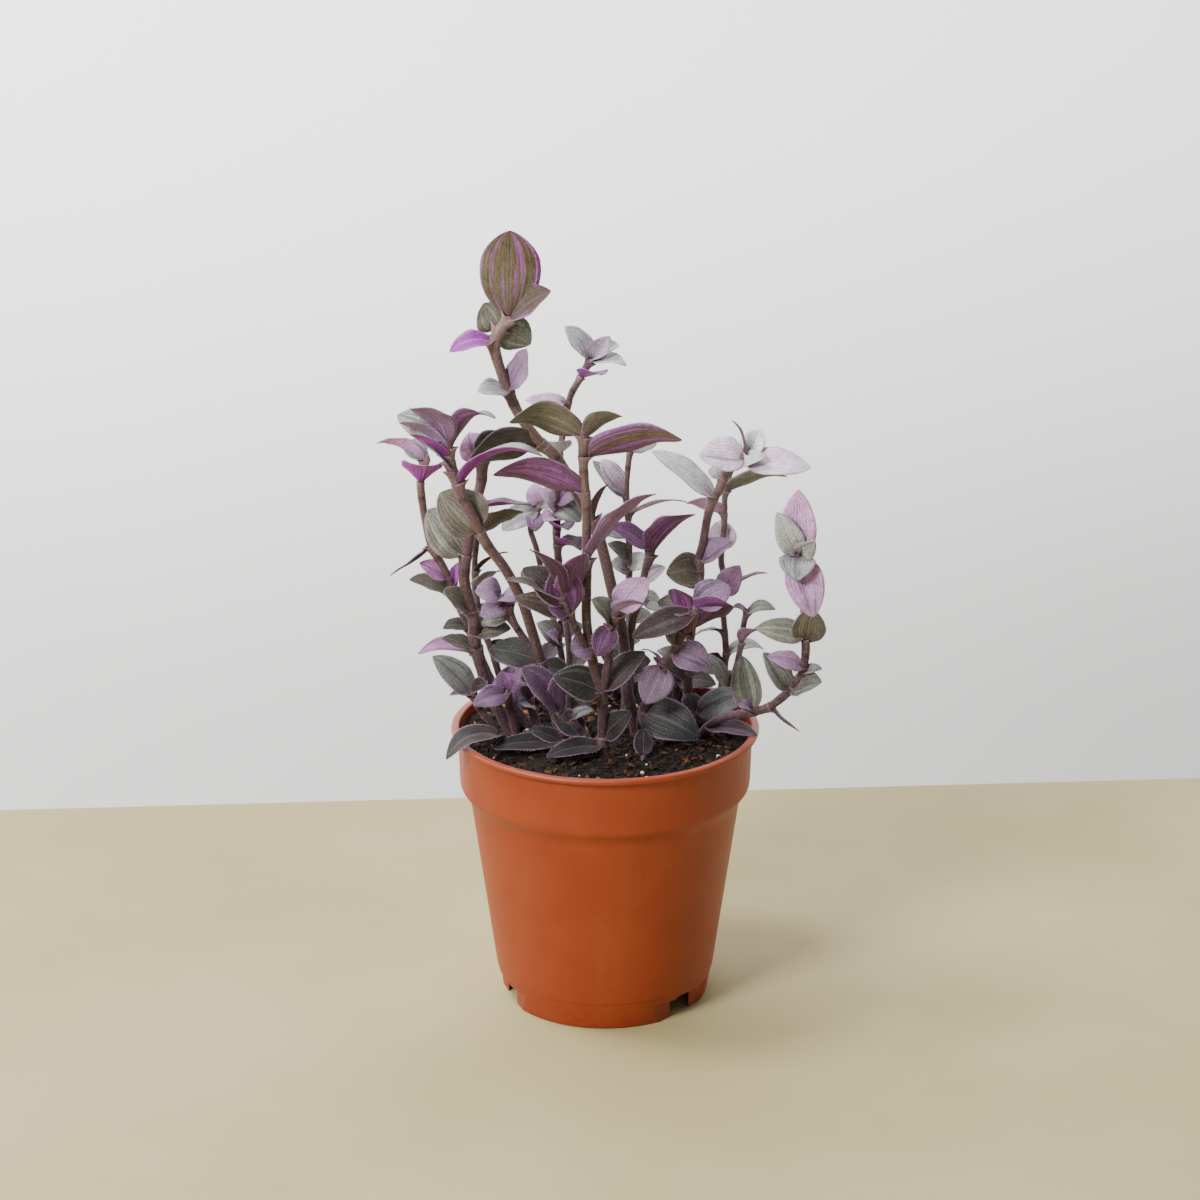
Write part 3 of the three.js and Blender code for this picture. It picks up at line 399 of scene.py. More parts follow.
shoot("stem_trumpet", 2.8, [
    (-2, -11, 89), (-9, -13, 99), (-15, -15, 105),
], [
    (2.1, (-11, -8, 18), 13, (4, -5, 5), MAUVE, 28, 1, MAUVE, 0.85),
    (1.8, (1, -4, 18), 11, (-5, 4, 5), LILAC, 28, 1, MAUVE, 0.9),
    (0.7, (-10, 5, 6), 9, (2, -7, 5), MOSS, 10),
    (1.4, (8, 2, 3), 5, (-3, -3, 7), SILVER, 15, 1, MAUVE),
])
shoot("stem_right_tall", 3.3, [
    (29, 20, 89), (28, 18, 98), (28, 14, 113), (29, 10, 128), (31, 6, 142), (31, 5, 152),
    (32, 4, 157), (34, 3, 169), (37, 2, 176), (40, 1, 183), (45, 0, 187),
], [
    (10.1, (-15, -3, 2), 13, (0, -6, 6), BLUSH, 10, 1, PINK, 0.5),
    (9.8, (22, -4, -1), 11, (0, -6, 7), BLUSH, 10, 1, PINK),
    (10.2, (-4, -1, 13), 5, (9, 0, 2), WINE, 15, 1, WINE),
    (10.1, (5, 6, 8), 8, (-2, -8, 3), FROST),
    (9.5, (9, -5, 4), 6, (0, -6, 6), FROST, 20),
    (8.5, (-4, 4, 3), 6, (0, -6, 6), SILVER),
    (7.5, (-20, -2, 17), 10, (5, -5, 6), FROST, 15, 2, PLUM, 0.6),
    (4.9, (10, -5, 8), 8, (-2, -7, 5), LILAC, 15, 1, PINK, 0.5),
    (4.5, (-11, -7, 1), 12.5, (0, -8, 4), OLIVE, 5, 1, PLUM, 0.42),
    (3, (4, 9, 4), 10, (-1, -5, 7), MOSS),
    (1.7, (8, -5, 4), 8, (0, -6, 6), UMBER, 15, 1, UMBER),
    (1.6, (-8, -5, 6), 8, (0, -6, 6), FERN, 15, 1, UMBER),
])
shoot("stem_right_thin", 2.3, [
    (37, 24, 89), (40, 26, 101), (41, 26, 112), (40, 26, 126), (40, 26, 138), (39, 26, 145),
    (40, 26, 158), (40, 26, 168), (42, 26, 176),
], [
    (8, (-3, 4, 7), 6, (2, -7, 3), SILVER, 20),
    (7, (20, -5, 8), 9, (-4, 6, 4), OLIVE, 20, 2, SAGE),
    (6.2, (-13, -4, 6), 9, (2, 6, 6), PINK, 15, 1, PINK),
    (5.2, (0, 4, 10), 10, (0, -9, 2), BLUSH, 10, 1, PINK),
    (3.5, (5, -4, 11), 9, (-1, -8, 3), PINK, 15, 1, PINK),
    (3.5, (14, -3, 9), 6.5, (-4, 2, 8), PLUM, 20, 1, MAGENTA),
    (2.5, (-10, -3, 0), 5, (0, 2, 9), SAGE),
    (1.9, (13, 3, 1), 6, (0, -3, 9), FROST, 15, 3),
    (1.4, (-8, -5, 5), 8, (0, -6, 6), MOSS, 15, 1, UMBER),
])
shoot("stem_right_arching", 3, [
    (31, 2, 89), (35, 0, 95), (40, -3, 99), (45, -6, 101), (49, -9, 103), (54, -12, 106),
    (60, -14, 112), (64, -15, 118), (65, -16, 124), (65, -16, 131), (64, -16, 143),
    (63, -15, 152), (62, -15, 159),
], [
    (12.1, (0, 2, 21), 12, (0, -9, 1), PINK, 12, 1, PINK, 0.45),
    (12.1, (-7, -3, 15), 9, (2, -9, 2), FROST, 10, 1, PLUM, 0.5),
    (12.1, (-1, -8, -6), 12, (0, -6, 7), SILVER, 15, 1, PLUM, 0.45),
    (12.1, (1, -4, 4), 3, (1, -6, 6), UMBER, 30, 0, UMBER),
    (11.9, (5, -7, -18), 12.5, (0, -9, 2), PINK, 10, 1, MAGENTA, 0.5),
    (8.9, (1, -5, 13), 11.5, (0, -9, 2), OLIVE, 10, 1, PLUM, 0.6),
    (9.1, (-16, -3, 4), 9, (1, -7, 6), SAGE, 10),
    (7.5, (-12, -3, 5), 7, (2, -6, 6), PINK),
    (7.2, (6, -2, 2), 4, (-1, -5, 7), SILVER),
    (6.2, (9, -7, 5), 10, (0, -6, 7), SAGE, 10, 1, PLUM, 0.45),
    (6.1, (-9, -3, 14), 8.5, (3, -7, 4), SILVER),
    (5, (10, -3, -7), 5.5, (5, 2, 8), WINE, 20, -1, WINE),
    (4, (-5, -2, 3), 5, (0, -4, 8), LILAC, 25),
    (3.8, (-3, 5, 18), 10, (0, -9, 2), SAGE, 12),
    (0.7, (16, -13, 3), 9, (0, -2, 8), WINE, 15, 1, MAGENTA),
    (12.1, (5, -6, 6), 7, (2, -8, 3), SILVER),
])
shoot("stem_right_low", 2.2, [
    (39, 21, 89), (42, 22, 99), (45, 22, 110), (46, 22, 117), (47, 22, 124), (48, 22, 127),
], [
    (4.9, (-5, -2, 3), 4, (0, -3, 8), MAUVE),
    (4.9, (9, -4, 3), 6, (-1, -4, 8), SAGE, 15, 2),
    (2.8, (6, -5, 7), 9, (-2, 4, 7), MAGENTA, 40, 1, PINK, 0.9),
    (1.3, (5, 8, -2), 8, (0, -4, 8), MOSS),
    (1, (-7, -2, 14), 6, (3, -6, 5), FROST),
])
shoot("stem_front_middle", 3.2, [
    (13, -5, 89), (12, -6, 99), (15, -10, 111), (19, -15, 122), (22, -17, 127), (25, -20, 134),
    (28, -22, 139), (29, -23, 144),
], [
    (5.1, (15, -6, 12), 16, (-3, 8, 3), WINE, 30, 1, GRAPE, 0.85),
    (7.1, (11, 4, 6), 11.5, (-2, -7, 5), LILAC, 10, 1, PLUM, 0.5),
    (6.6, (-20, -4, -7), 9, (-2, -7, 4), UMBER, 10, 2, UMBER, 0.6),
    (6.7, (-12, 5, 2), 8, (0, -6, 6), FERN),
    (4, (12, -4, -4), 11, (0, -7, 6), LILAC, 15, 2),
    (3.8, (15, 3, -8), 6, (2, -5, 6), SILVER),
    (3, (-6, -5, -12), 11.5, (0, -9, 3), LILAC, 10, 0, PLUM, 0.5),
    (3, (-7, -2, 6), 4, (2, 2, 9), SAGE, 10),
    (1.3, (18, -10, -5), 15, (0, -7, 6), TEAL, 8, 2, PLUM, 0.5),
    (5.1, (-3, -5, 17), 11, (4, 7, 3), MAGENTA, 28, 1, GRAPE, 0.95),
    (4.5, (-5, -3, 9), 8, (3, -7, 5), SAGE),
])
shoot("stem_middle_right", 3.4, [
    (9, 7, 89), (8, 7, 101), (8, 7, 115), (9, 6, 130), (11, 5, 137), (13, 4, 146), (15, 3, 155),
], [
    (5.7, (14, -6, 17), 18, (-5, 5, 5), WINE, 35, 1, VIOLET, 0.9),
    (6.1, (-14, -2, 9), 8, (3, -5, 6), VIOLET, 15, 1, MAGENTA),
    (4, (8, 4, -3), 8, (0, -6, 6), FROST, 10),
    (2, (-7, 6, 4), 9, (0, -4, 8), MOSS),
    (1, (8, 6, 3), 8, (0, -6, 6), OLIVE, 15, 1, UMBER),
    (4.8, (7, -4, 6), 6, (0, -6, 6), BLUSH, 15, 1, MAGENTA),
])
shoot("stem_back_slim", 2.3, [
    (6, 18, 89), (7, 18, 104), (8, 18, 126), (8, 17, 143), (8, 16, 156), (7, 15, 171),
    (8, 14, 186),
], [
    (5.9, (9, 6, 2), 7, (-1, -5, 7), SILVER),
    (5, (-8, -2, 12), 7.5, (1, -8, 4), BLUSH, 10, 1, PINK, 0.9),
    (4.5, (19, -4, 7), 6.5, (-2, 3, 8), UMBER, 20, 1, BLUSH),
    (4, (-8, -2, 1), 6, (0, -5, 8), SAGE, 10),
    (3.15, (7, -4, 4), 7, (-2, -6, 5), FROST, 20),
    (1.9, (6, 8, 3), 10, (0, -4, 8), DUSK),
    (4.9, (-11, 2, 12), 6, (0, -7, 5), SILVER),
    (3.4, (-7, -4, 6), 6, (0, -6, 6), SAGE, 15, 1, UMBER),
    (3.1, (-6, -4, 3), 7, (0, -7, 5), SILVER, 15, 1, UMBER),
    (1.2, (8, -5, 5), 9, (0, -6, 6), OLIVE, 15, 1, UMBER),
    (1.1, (-8, -5, 9), 8, (0, -6, 6), MOSS, 15, 1, UMBER),
])
shoot("stem_back_left", 2.3, [
    (-11, 24, 89), (-13, 24, 100), (-16, 25, 117), (-20, 26, 134), (-23, 26, 148), (-25, 26, 156),
    (-22, 26, 163),
], [
    (5.8, (-12, -3, -6), 9, (0, -7, 6), SILVER, 10, 2),
    (5.6, (0, -7, -4), 7, (0, -6, 6), MAUVE, 15, 1, PINK),
    (6, (13, -2, 9), 8, (-2, -6, 6), SILVER, 15, 2),
    (6, (-2, 3, 7), 7, (0, -8, 3), PINK, 10),
    (3, (-8, 6, 5), 10, (1, -4, 8), MOSS),
    (2, (8, 6, 3), 9, (0, -4, 8), MOSS),
    (1.9, (-7, -3, 8), 9, (0, -5, 7), SILVER),
    (1.9, (-4, -5, 5), 5, (0, -6, 6), PINK),
])
shoot("sprout_right", 2.6, [
    (30, 8, 89), (31, 8, 96),
], [
    (1, (17, -3, 8), 10, (0, -7, 6), SILVER, 10, 2),
    (1, (-4, 5, 5), 7, (0, -5, 8), UMBER, 20),
])
shoot("sprout_rim", 2.4, [
    (-32, -10, 89), (-34, -15, 97),
], [
    (1, (-18, -9, -4), 11, (-1, -2, 9), UMBER, 10, 4),
])
shoot("sprout_front_left", 2.4, [
    (-12, -13, 89), (-14, -13, 94),
], [
    (1, (-23, -7, 1), 8, (0, -4, 8), MOSS, 10),
    (1, (-11, 1, 4), 6, (0, -5, 8), MOSS, 10),
])
shoot("sprout_front", 1.8, [
    (12.5, -20, 88), (12.5, -20, 91.5),
], [
    (1, (0, 3, 9), 6.5, (0, -9, 2), MOSS, 15, 0),
])
shoot("sprout_back_left", 2.4, [
    (-18, 34, 89), (-19, 35, 97), (-21, 36, 104),
], [
    (2, (-10, 5, 3), 10, (1, -2, 9), MOSS, 15, 2, UMBER),
    (2, (7, 3, 6), 9, (-2, -3, 8), UMBER, 20),
    (1.2, (2, 12, 2), 9, (0, -2, 9), SAGE, 15, 2),
    *low_pair(TEAL),
])
shoot("sprout_back", 2.4, [
    (3, 36, 89), (4, 37, 98), (3, 38, 107),
], [
    (2, (-9, 4, 4), 10, (1, -2, 9), MOSS, 15, 2, UMBER),
    (2, (9, 3, 4), 9, (-1, -3, 8), UMBER, 20),
    (1, (4, 11, 3), 9, (0, -2, 9), SAGE, 15, 2),
    *low_pair(TEAL),
])
shoot("sprout_back_right", 2.4, [
    (24, 34, 89), (25, 35, 97), (26, 36, 103),
], [
    (2, (-8, 4, 4), 9, (1, -2, 9), MOSS, 15, 2, UMBER),
    (2, (10, 3, 3), 9, (-1, -3, 8), UMBER, 20),
    (1, (3, 11, 2), 9, (0, -2, 9), SAGE, 15, 2),
    *low_pair(OLIVE),
])


# ------------------------------------------------------------------ shader sums
class Value:
    """A number on a material's surface; a sum written with it adds its Math nodes."""

    def __init__(self, finish, socket):
        self.finish = finish
        self.socket = socket

    def sum_of(self, operation, *numbers):
        sockets = dict(enumerate(numbers))
        return self.finish.node("ShaderNodeMath", {"operation": operation}, sockets)

    def __add__(self, other):
        return self.sum_of("ADD", self, other)

    def __sub__(self, other):
        return self.sum_of("SUBTRACT", self, other)

    def __rsub__(self, other):
        return self.sum_of("SUBTRACT", other, self)

    def __mul__(self, other):
        return self.sum_of("MULTIPLY", self, other)

    __radd__ = __add__
    __rmul__ = __mul__

    def __abs__(self):
        return self.sum_of("ABSOLUTE", self)

    def sine(self):
        return self.sum_of("SINE", self)

    def rise(self, low, high):
        """0 below low, 1 above high, and smooth between; low may be the larger."""
        settings = {"interpolation_type": "SMOOTHSTEP"}
        sockets = {"Value": self, "From Min": low, "From Max": high}
        return self.finish.node("ShaderNodeMapRange", settings, sockets)


class Finish:
    """A procedural material."""

    def __init__(self, name, **constants):
        self.material = bpy.data.materials.new(name)
        self.material.use_nodes = True
        self.tree = self.material.node_tree
        self.surface = self.tree.nodes["Principled BSDF"]
        for socket, value in constants.items():
            self.surface.inputs[socket.replace("_", " ")].default_value = value

    def node(self, kind, settings=None, sockets=None, output=0):
        made = self.tree.nodes.new(kind)
        for name, value in (settings or {}).items():
            setattr(made, name, value)
        for name, value in (sockets or {}).items():
            if isinstance(value, Value):
                self.tree.links.new(value.socket, made.inputs[name])
            else:
                made.inputs[name].default_value = value
        return Value(self, made.outputs[output])

    def mark(self, name, output="Vector"):
        return self.node("ShaderNodeAttribute", {"attribute_name": name}, output=output)

    def parts(self, vector):
        made = self.node("ShaderNodeSeparateXYZ", sockets={"Vector": vector})
        return [Value(self, output) for output in made.socket.node.outputs]

    def vector(self, x, y, z):
        return self.node("ShaderNodeCombineXYZ", sockets={"X": x, "Y": y, "Z": z})

    def position(self):
        return self.node("ShaderNodeTexCoord", output="Object")

    def noise(self, vector, scale=1.0, detail=3.0, roughness=0.55):
        sockets = {"Vector": vector, "Scale": scale, "Detail": detail, "Roughness": roughness}
        return self.node("ShaderNodeTexNoise", sockets=sockets, output="Fac")

    def mix(self, factor, first, second, blend="MIX"):
        settings = {"data_type": "RGBA", "blend_type": blend}
        sockets = {0: factor, 6: first, 7: second}
        return self.node("ShaderNodeMix", settings, sockets, output=2)

    def coat(self, colour, *coats):
        """A colour under coats of paint, each given as how much of it shows and its paint."""
        for share, code in coats:
            colour = self.mix(share, colour, paint(code))
        return colour

    def bump(self, height, strength, distance):
        sockets = {"Height": height, "Strength": strength, "Distance": distance}
        return self.node("ShaderNodeBump", sockets=sockets, output="Normal")

    def feed(self, name, value):
        self.tree.links.new(value.socket, self.surface.inputs[name])

    def done(self, colour, roughness, *relief):
        """The material; a relief is its height, its strength and its greatest depth."""
        self.feed("Base Color", colour)
        self.feed("Roughness", roughness)
        if relief:
            self.feed("Normal", self.bump(*relief))
        return self.material


def paint(code):
    """A colour written as six hex digits, in the linear light that shaders use."""
    channels = [int(code[k:k + 2], 16) / 255 for k in (0, 2, 4)]
    linear = [c / 12.92 if c <= 0.04045 else ((c + 0.055) / 1.055) ** 2.4 for c in channels]
    return (*linear, 1.0)


# ------------------------------------------------------------------ finishes
def leaf_finish():
    finish = Finish(
        "leaf_blade",
        Subsurface_Weight=0.12,
        Subsurface_Radius=(0.6, 0.35, 0.45),
        Subsurface_Scale=0.001,
        Sheen_Weight=0.08,
        Sheen_Roughness=0.4,
        IOR=1.42,
    )
    across, along, seed = finish.parts(finish.mark("place"))
    ground = finish.mark("ground", "Color")
    stripe = finish.mark("stripe", "Color")
    share = finish.mark("stripe", "Alpha")
    upper = finish.mark("upper", "Fac")
    width = abs(across)
    bands = finish.noise(finish.vector(across * 2.6, along * 0.35, seed), 1.0, 1.0)
    streaks = finish.noise(finish.vector(across * 12.0, along * 1.7, seed + 9.0))
    edge = 0.8 - 0.6 * share
    banding = (bands * 0.76 + streaks * 0.24).rise(edge - 0.05, edge + 0.05)
    colour = finish.mix(banding * 0.92, ground, stripe)
    colour = finish.mix(streaks.rise(0.48, 0.72) * 0.35, colour, stripe)
    veins = (across * 34.0 + (streaks - 0.5) * 7.0).sine()
    cells = finish.noise(finish.vector(across * 34.0, along * 16.0, seed), 1.0, 3.0, 0.7)
    # The fine flecks are partly the leaf's cell texture and partly painted glints: specks of
    # light caught by the fine hairs.
    glints = finish.noise(finish.position(), 1500.0, 3.0, 0.8)
    cells_and_glints = cells * 0.5 + glints * 0.5
    mottle = finish.noise(finish.position(), 260.0, 4.0, 0.6)
    tone = 1.0 + (cells_and_glints - 0.5) * 2.6 + (mottle - 0.5) * 0.8 + veins * 0.07
    colour = finish.mix(1.0, colour, tone.rise(-0.4, 2.0) * 2.4 - 0.4, "MULTIPLY")
    midrib = width.rise(0.06, 0.01)
    colour = finish.coat(
        colour,
        # pale flecks, partly painted glints, stronger on the upper face
        (cells_and_glints.rise(0.54, 0.68) * (0.09 + 0.13 * upper), "c8c4cc"),
        # painted shade: darker towards the leaf's foot
        (along.rise(0.34, 0.0) * 0.5, "50323c"),
        (midrib * (0.08 + 0.1 * upper), "b18fb0"),
        (width.rise(0.9, 0.985) * 0.5, "a076a0"),
    )
    relief = veins * 0.4 + cells_and_glints * 1.2 - midrib * 1.2
    return finish.done(colour, 0.36 + 0.3 * cells_and_glints + 0.1 * mottle, relief, 0.5, 0.0003)


def stalk_finish():
    finish = Finish(
        "fleshy_stalk",
        Subsurface_Weight=0.2,
        Subsurface_Radius=(0.8, 0.35, 0.35),
        Subsurface_Scale=0.0015,
        Sheen_Weight=0.12,
        IOR=1.42,
    )
    around, distance, seed = finish.parts(finish.mark("place"))
    joint, sheath, height = finish.parts(finish.mark("stem"))
    place = finish.position()
    # Painted light: stalks towards the back are painted paler, standing in for the light that
    # falls on them there.
    painted_light_at_back = finish.parts(place)[1].rise(-0.015, 0.03)
    streaks = finish.noise(finish.vector(around * 4.0, distance * 0.03, seed))
    spots = finish.noise(place, 1100.0, 3.0, 0.65)
    patches = finish.noise(place, 70.0, 2.0)
    lines = (around * 44.0 + streaks * 6.0).sine()
    colour = finish.coat(
        # darker and redder towards the soil: partly painted shade low among the leaves, partly
        # the stalk's own redder colour there
        finish.mix(height.rise(0.3, 1.2), paint("3f282b"), paint("836a5b")),
        (patches.rise(0.42, 0.62) * 0.45, "3f2233"),
        (painted_light_at_back * 0.35, "a08a8c"),
        (streaks.rise(0.5, 0.62) * 0.45, "4d2a40"),
        (streaks.rise(0.46, 0.36) * 0.45, "4b4a33"),
        (spots.rise(0.52, 0.66) * 0.35, "22100f"),
        (spots.rise(0.46, 0.34) * 0.2, "a58c98"),
        (sheath * 0.2, "86707c"),
        (lines.rise(0.3, 0.95) * (0.08 + sheath * 0.16), "a48a9a"),
        (joint * 0.45, "22100f"),
    )
    return finish.done(colour, 0.4 + 0.22 * spots, lines * 0.4 + spots, 0.3, 0.0002)


def hair_finish():
    finish = Finish("fine_hairs", Sheen_Weight=0.4, IOR=1.4)
    tone = finish.noise(finish.position(), 900.0, 1.0)
    colour = finish.mix(tone, paint("d9cdd8"), paint("f1ecf0"))
    return finish.done(colour, 0.5 + 0.2 * tone)


def pot_finish():
    finish = Finish(
        "terracotta_plastic", IOR=1.48, Subsurface_Weight=0.05, Subsurface_Scale=0.002
    )
    place = finish.position()
    x, y, z = finish.parts(place)
    clouds = finish.noise(place, 45.0)
    flow = finish.noise(finish.vector(x * 90.0, y * 90.0, z * 9.0))
    grain = finish.noise(place, 2600.0, 3.0, 0.6)
    dust = finish.noise(place, 420.0, 5.0, 0.65)
    scuffs = finish.noise(finish.vector(x * 300.0, y * 300.0, z * 1700.0), 1.0, 2.0)
    near_rim = z.rise(0.088, 0.0955)
    near_foot = z.rise(0.012, 0.0)
    colour = finish.coat(
        finish.mix(clouds.rise(0.35, 0.65), paint("8b3111"), paint("903715")),
        (flow.rise(0.5, 0.75) * 0.2, "984a28"),
        (dust.rise(0.56, 0.72) * (0.05 + near_rim * 0.3), "3a1a0c"),
        (dust.rise(0.5, 0.7) * near_foot * 0.4, "54200c"),
        (scuffs.rise(0.66, 0.74) * 0.12, "b86a40"),
    )
    roughness = 0.36 + 0.1 * clouds + 0.12 * dust
    return finish.done(colour, roughness, grain + flow * 0.6, 0.12, 0.0003)


def soil_finish():
    finish = Finish("potting_soil_bed", Specular_IOR_Level=0.3)
    place = finish.position()
    lumps = finish.noise(place, 420.0, 5.0, 0.65)
    fibres = finish.noise(place, 1700.0, 4.0, 0.7)
    colour = finish.mix(lumps.rise(0.3, 0.7), paint("0e0907"), paint("241811"))
    colour = finish.coat(colour, (fibres.rise(0.55, 0.75) * 0.45, "412b1d"))
    return finish.done(colour, 0.75 + 0.2 * fibres, lumps + fibres * 0.6, 0.8, 0.0012)


def crumb_finish():
    """Peat, bark and perlite: each bit's own colour is kept on its points."""
    finish = Finish("soil_bits", Specular_IOR_Level=0.35)
    place = finish.position()
    grit = finish.noise(place, 2400.0, 4.0, 0.7)
    lumps = finish.noise(place, 700.0, 3.0, 0.6)
    colour = finish.coat(
        finish.mark("ground", "Color"),
        (grit.rise(0.5, 0.75) * 0.45, "241811"),
        (lumps.rise(0.6, 0.75) * 0.2, "a07f62"),
    )
    return finish.done(colour, 0.7 + 0.25 * grit, grit + lumps, 0.6, 0.0006)


def stage_finish(name, light, dark, scale, glow=0.0):
    """A clouded paint; where it glows, it glows brighter to the left and to the top: painted
    light standing in for the light on the wall.
    """
    finish = Finish(name, Specular_IOR_Level=0.25, Emission_Strength=glow)
    place = finish.position()
    x, _, z = finish.parts(place)
    clouds = finish.noise(place, scale, 4.0)
    weave = finish.noise(place, 900.0, 2.0)
    # Painted light: the glow, brighter to the left and the top, stands in for light falling on
    # the wall.
    rightward = x.rise(-0.8, 0.8)
    low = finish.mix(rightward, paint("aeadaa"), paint("747371"))
    high = finish.mix(rightward, paint("fffefb"), paint("cecdca"))
    finish.feed("Emission Color", finish.mix(z.rise(-0.46, 0.17), low, high))
    colour = finish.mix(clouds.rise(0.3, 0.7), paint(light), paint(dark))
    return finish.done(colour, 0.75 + 0.15 * weave, weave, 0.1, 0.0004)


# ------------------------------------------------------------------ mesh making
MARKS = {"place": 3, "stem": 3, "ground": 4, "stripe": 4, "upper": 1}
MARK_TYPES = {3: ("FLOAT_VECTOR", "vector"), 4: ("FLOAT_COLOR", "color"), 1: ("FLOAT", "value")}


class Skin:
    """Closed skins gathered into one mesh, with the numbers that its finish reads."""

    def __init__(self):
        self.points = []
        self.faces = []
        self.finishes = []
        self.marks = {name: [] for name in MARKS}
        self.count = 0

    def add(self, points, faces, finish=0, **marks):
        points = np.asarray(points, float).reshape(-1, 3)
        self.points.append(points)
        self.faces.extend([tuple(self.count + k for k in face) for face in faces])
        self.finishes.extend([finish] * len(faces))
        for name, size in MARKS.items():
            value = np.asarray(marks.get(name, np.zeros(size)), float)
            self.marks[name].append(np.broadcast_to(value.reshape(-1, size), (len(points), size)))
        self.count += len(points)

    def loft(self, rings, finish=0, **marks):
        """A closed skin over rings of points, capped at both ends."""
        rings = np.asarray(rings, float)
        rows, columns = rings.shape[:2]
        faces = []
        for i in range(rows - 1):
            for k in range(columns):
                a, b = i * columns + k, i * columns + (k + 1) % columns
                faces.append((a, b, b + columns, a + columns))
        faces.append(tuple(reversed(range(columns))))
        faces.append(tuple((rows - 1) * columns + k for k in range(columns)))
        self.add(rings, faces, finish, **marks)

    def build(self, name, materials, smooth=True):
        mesh = bpy.data.meshes.new(name)
        points = np.vstack(self.points) * MM
        mesh.from_pydata(points.tolist(), [], self.faces)
        mesh.polygons.foreach_set("material_index", self.finishes)
        mesh.polygons.foreach_set("use_smooth", [smooth] * len(self.faces))
        for mark, size in MARKS.items():
            kind, field = MARK_TYPES[size]
            values = np.vstack(self.marks[mark]).astype(np.float32)
            layer = mesh.attributes.new(mark, kind, "POINT")
            layer.data.foreach_set(field, values.ravel())
        for material in materials:
            mesh.materials.append(material)
        mesh.validate()
        mesh.update()
        return place_in_scene(name, mesh)


def place_in_scene(name, data):
    thing = bpy.data.objects.new(name, data)
    bpy.context.scene.collection.objects.link(thing)
    return thing


def settle(piece, node):
    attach(piece, "root")
    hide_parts(node)


def unit(vector):
    return vector / np.linalg.norm(vector)


def as_point(values):
    return np.array(values, float)


def circle(across, other, sides):
    angles = np.arange(sides) * 2 * math.pi / sides
    return np.outer(np.cos(angles), across) + np.outer(np.sin(angles), other)


def level_ring(radius, height, sides):
    return circle((radius, 0.0, 0.0), (0.0, radius, 0.0), sides) + (0.0, 0.0, height)


def tube(points, radii, sides):
    """Rings square to a path, carried along it without twisting."""
    last = len(points) - 1
    across = np.array((1.0, 0.0, 0.0))
    rings = []
    for i, radius in enumerate(radii):
        along = unit(points[min(i + 1, last)] - points[max(i - 1, 0)])
        across = unit(across - along * (across @ along))
        rings.append(points[i] + circle(across, np.cross(along, across), sides) * radius)
    return rings


class Path:
    """A smooth curve through points; a place on it is counted in points."""

    def __init__(self, points):
        self.last = len(points) - 1
        self.points = [2 * points[0] - points[1], *points, 2 * points[-1] - points[-2]]

    def at(self, place):
        i = min(max(int(math.floor(place)), 0), self.last - 1)
        t = place - i
        a, b, c, d = self.points[i:i + 4]
        return 0.5 * (
            2 * b + (c - a) * t + (2 * a - 5 * b + 4 * c - d) * t * t
            + (3 * b - a - 3 * c + d) * t ** 3
        )


# ------------------------------------------------------------------ leaves and stalks
def blade_outline(s, neck):
    """The blade's width along its length s from 0 to 1; the greater the neck, the slenderer it
    is below its widest place and the farther out that place is."""
    widest = neck / (neck + BLADE_TAPER)
    peak = widest ** neck * (1 - widest) ** BLADE_TAPER
    form = s ** neck * (1 - s) ** BLADE_TAPER / peak
    return BLADE_FOOT_SHARE * (1 - s) + BLADE_FORM_SHARE * form


def leaf_paints(ground, stripe, share, shade):
    """The two paints of a leaf's face, times shade: the leaf's random tone and its painted shade.
    The stripes' share of the face takes their alpha's place.
    """
    return [
        np.array((*(shade * c for c in paint(code)[:3]), last))
        for code, last in ((ground, 1.0), (stripe, share))
    ]


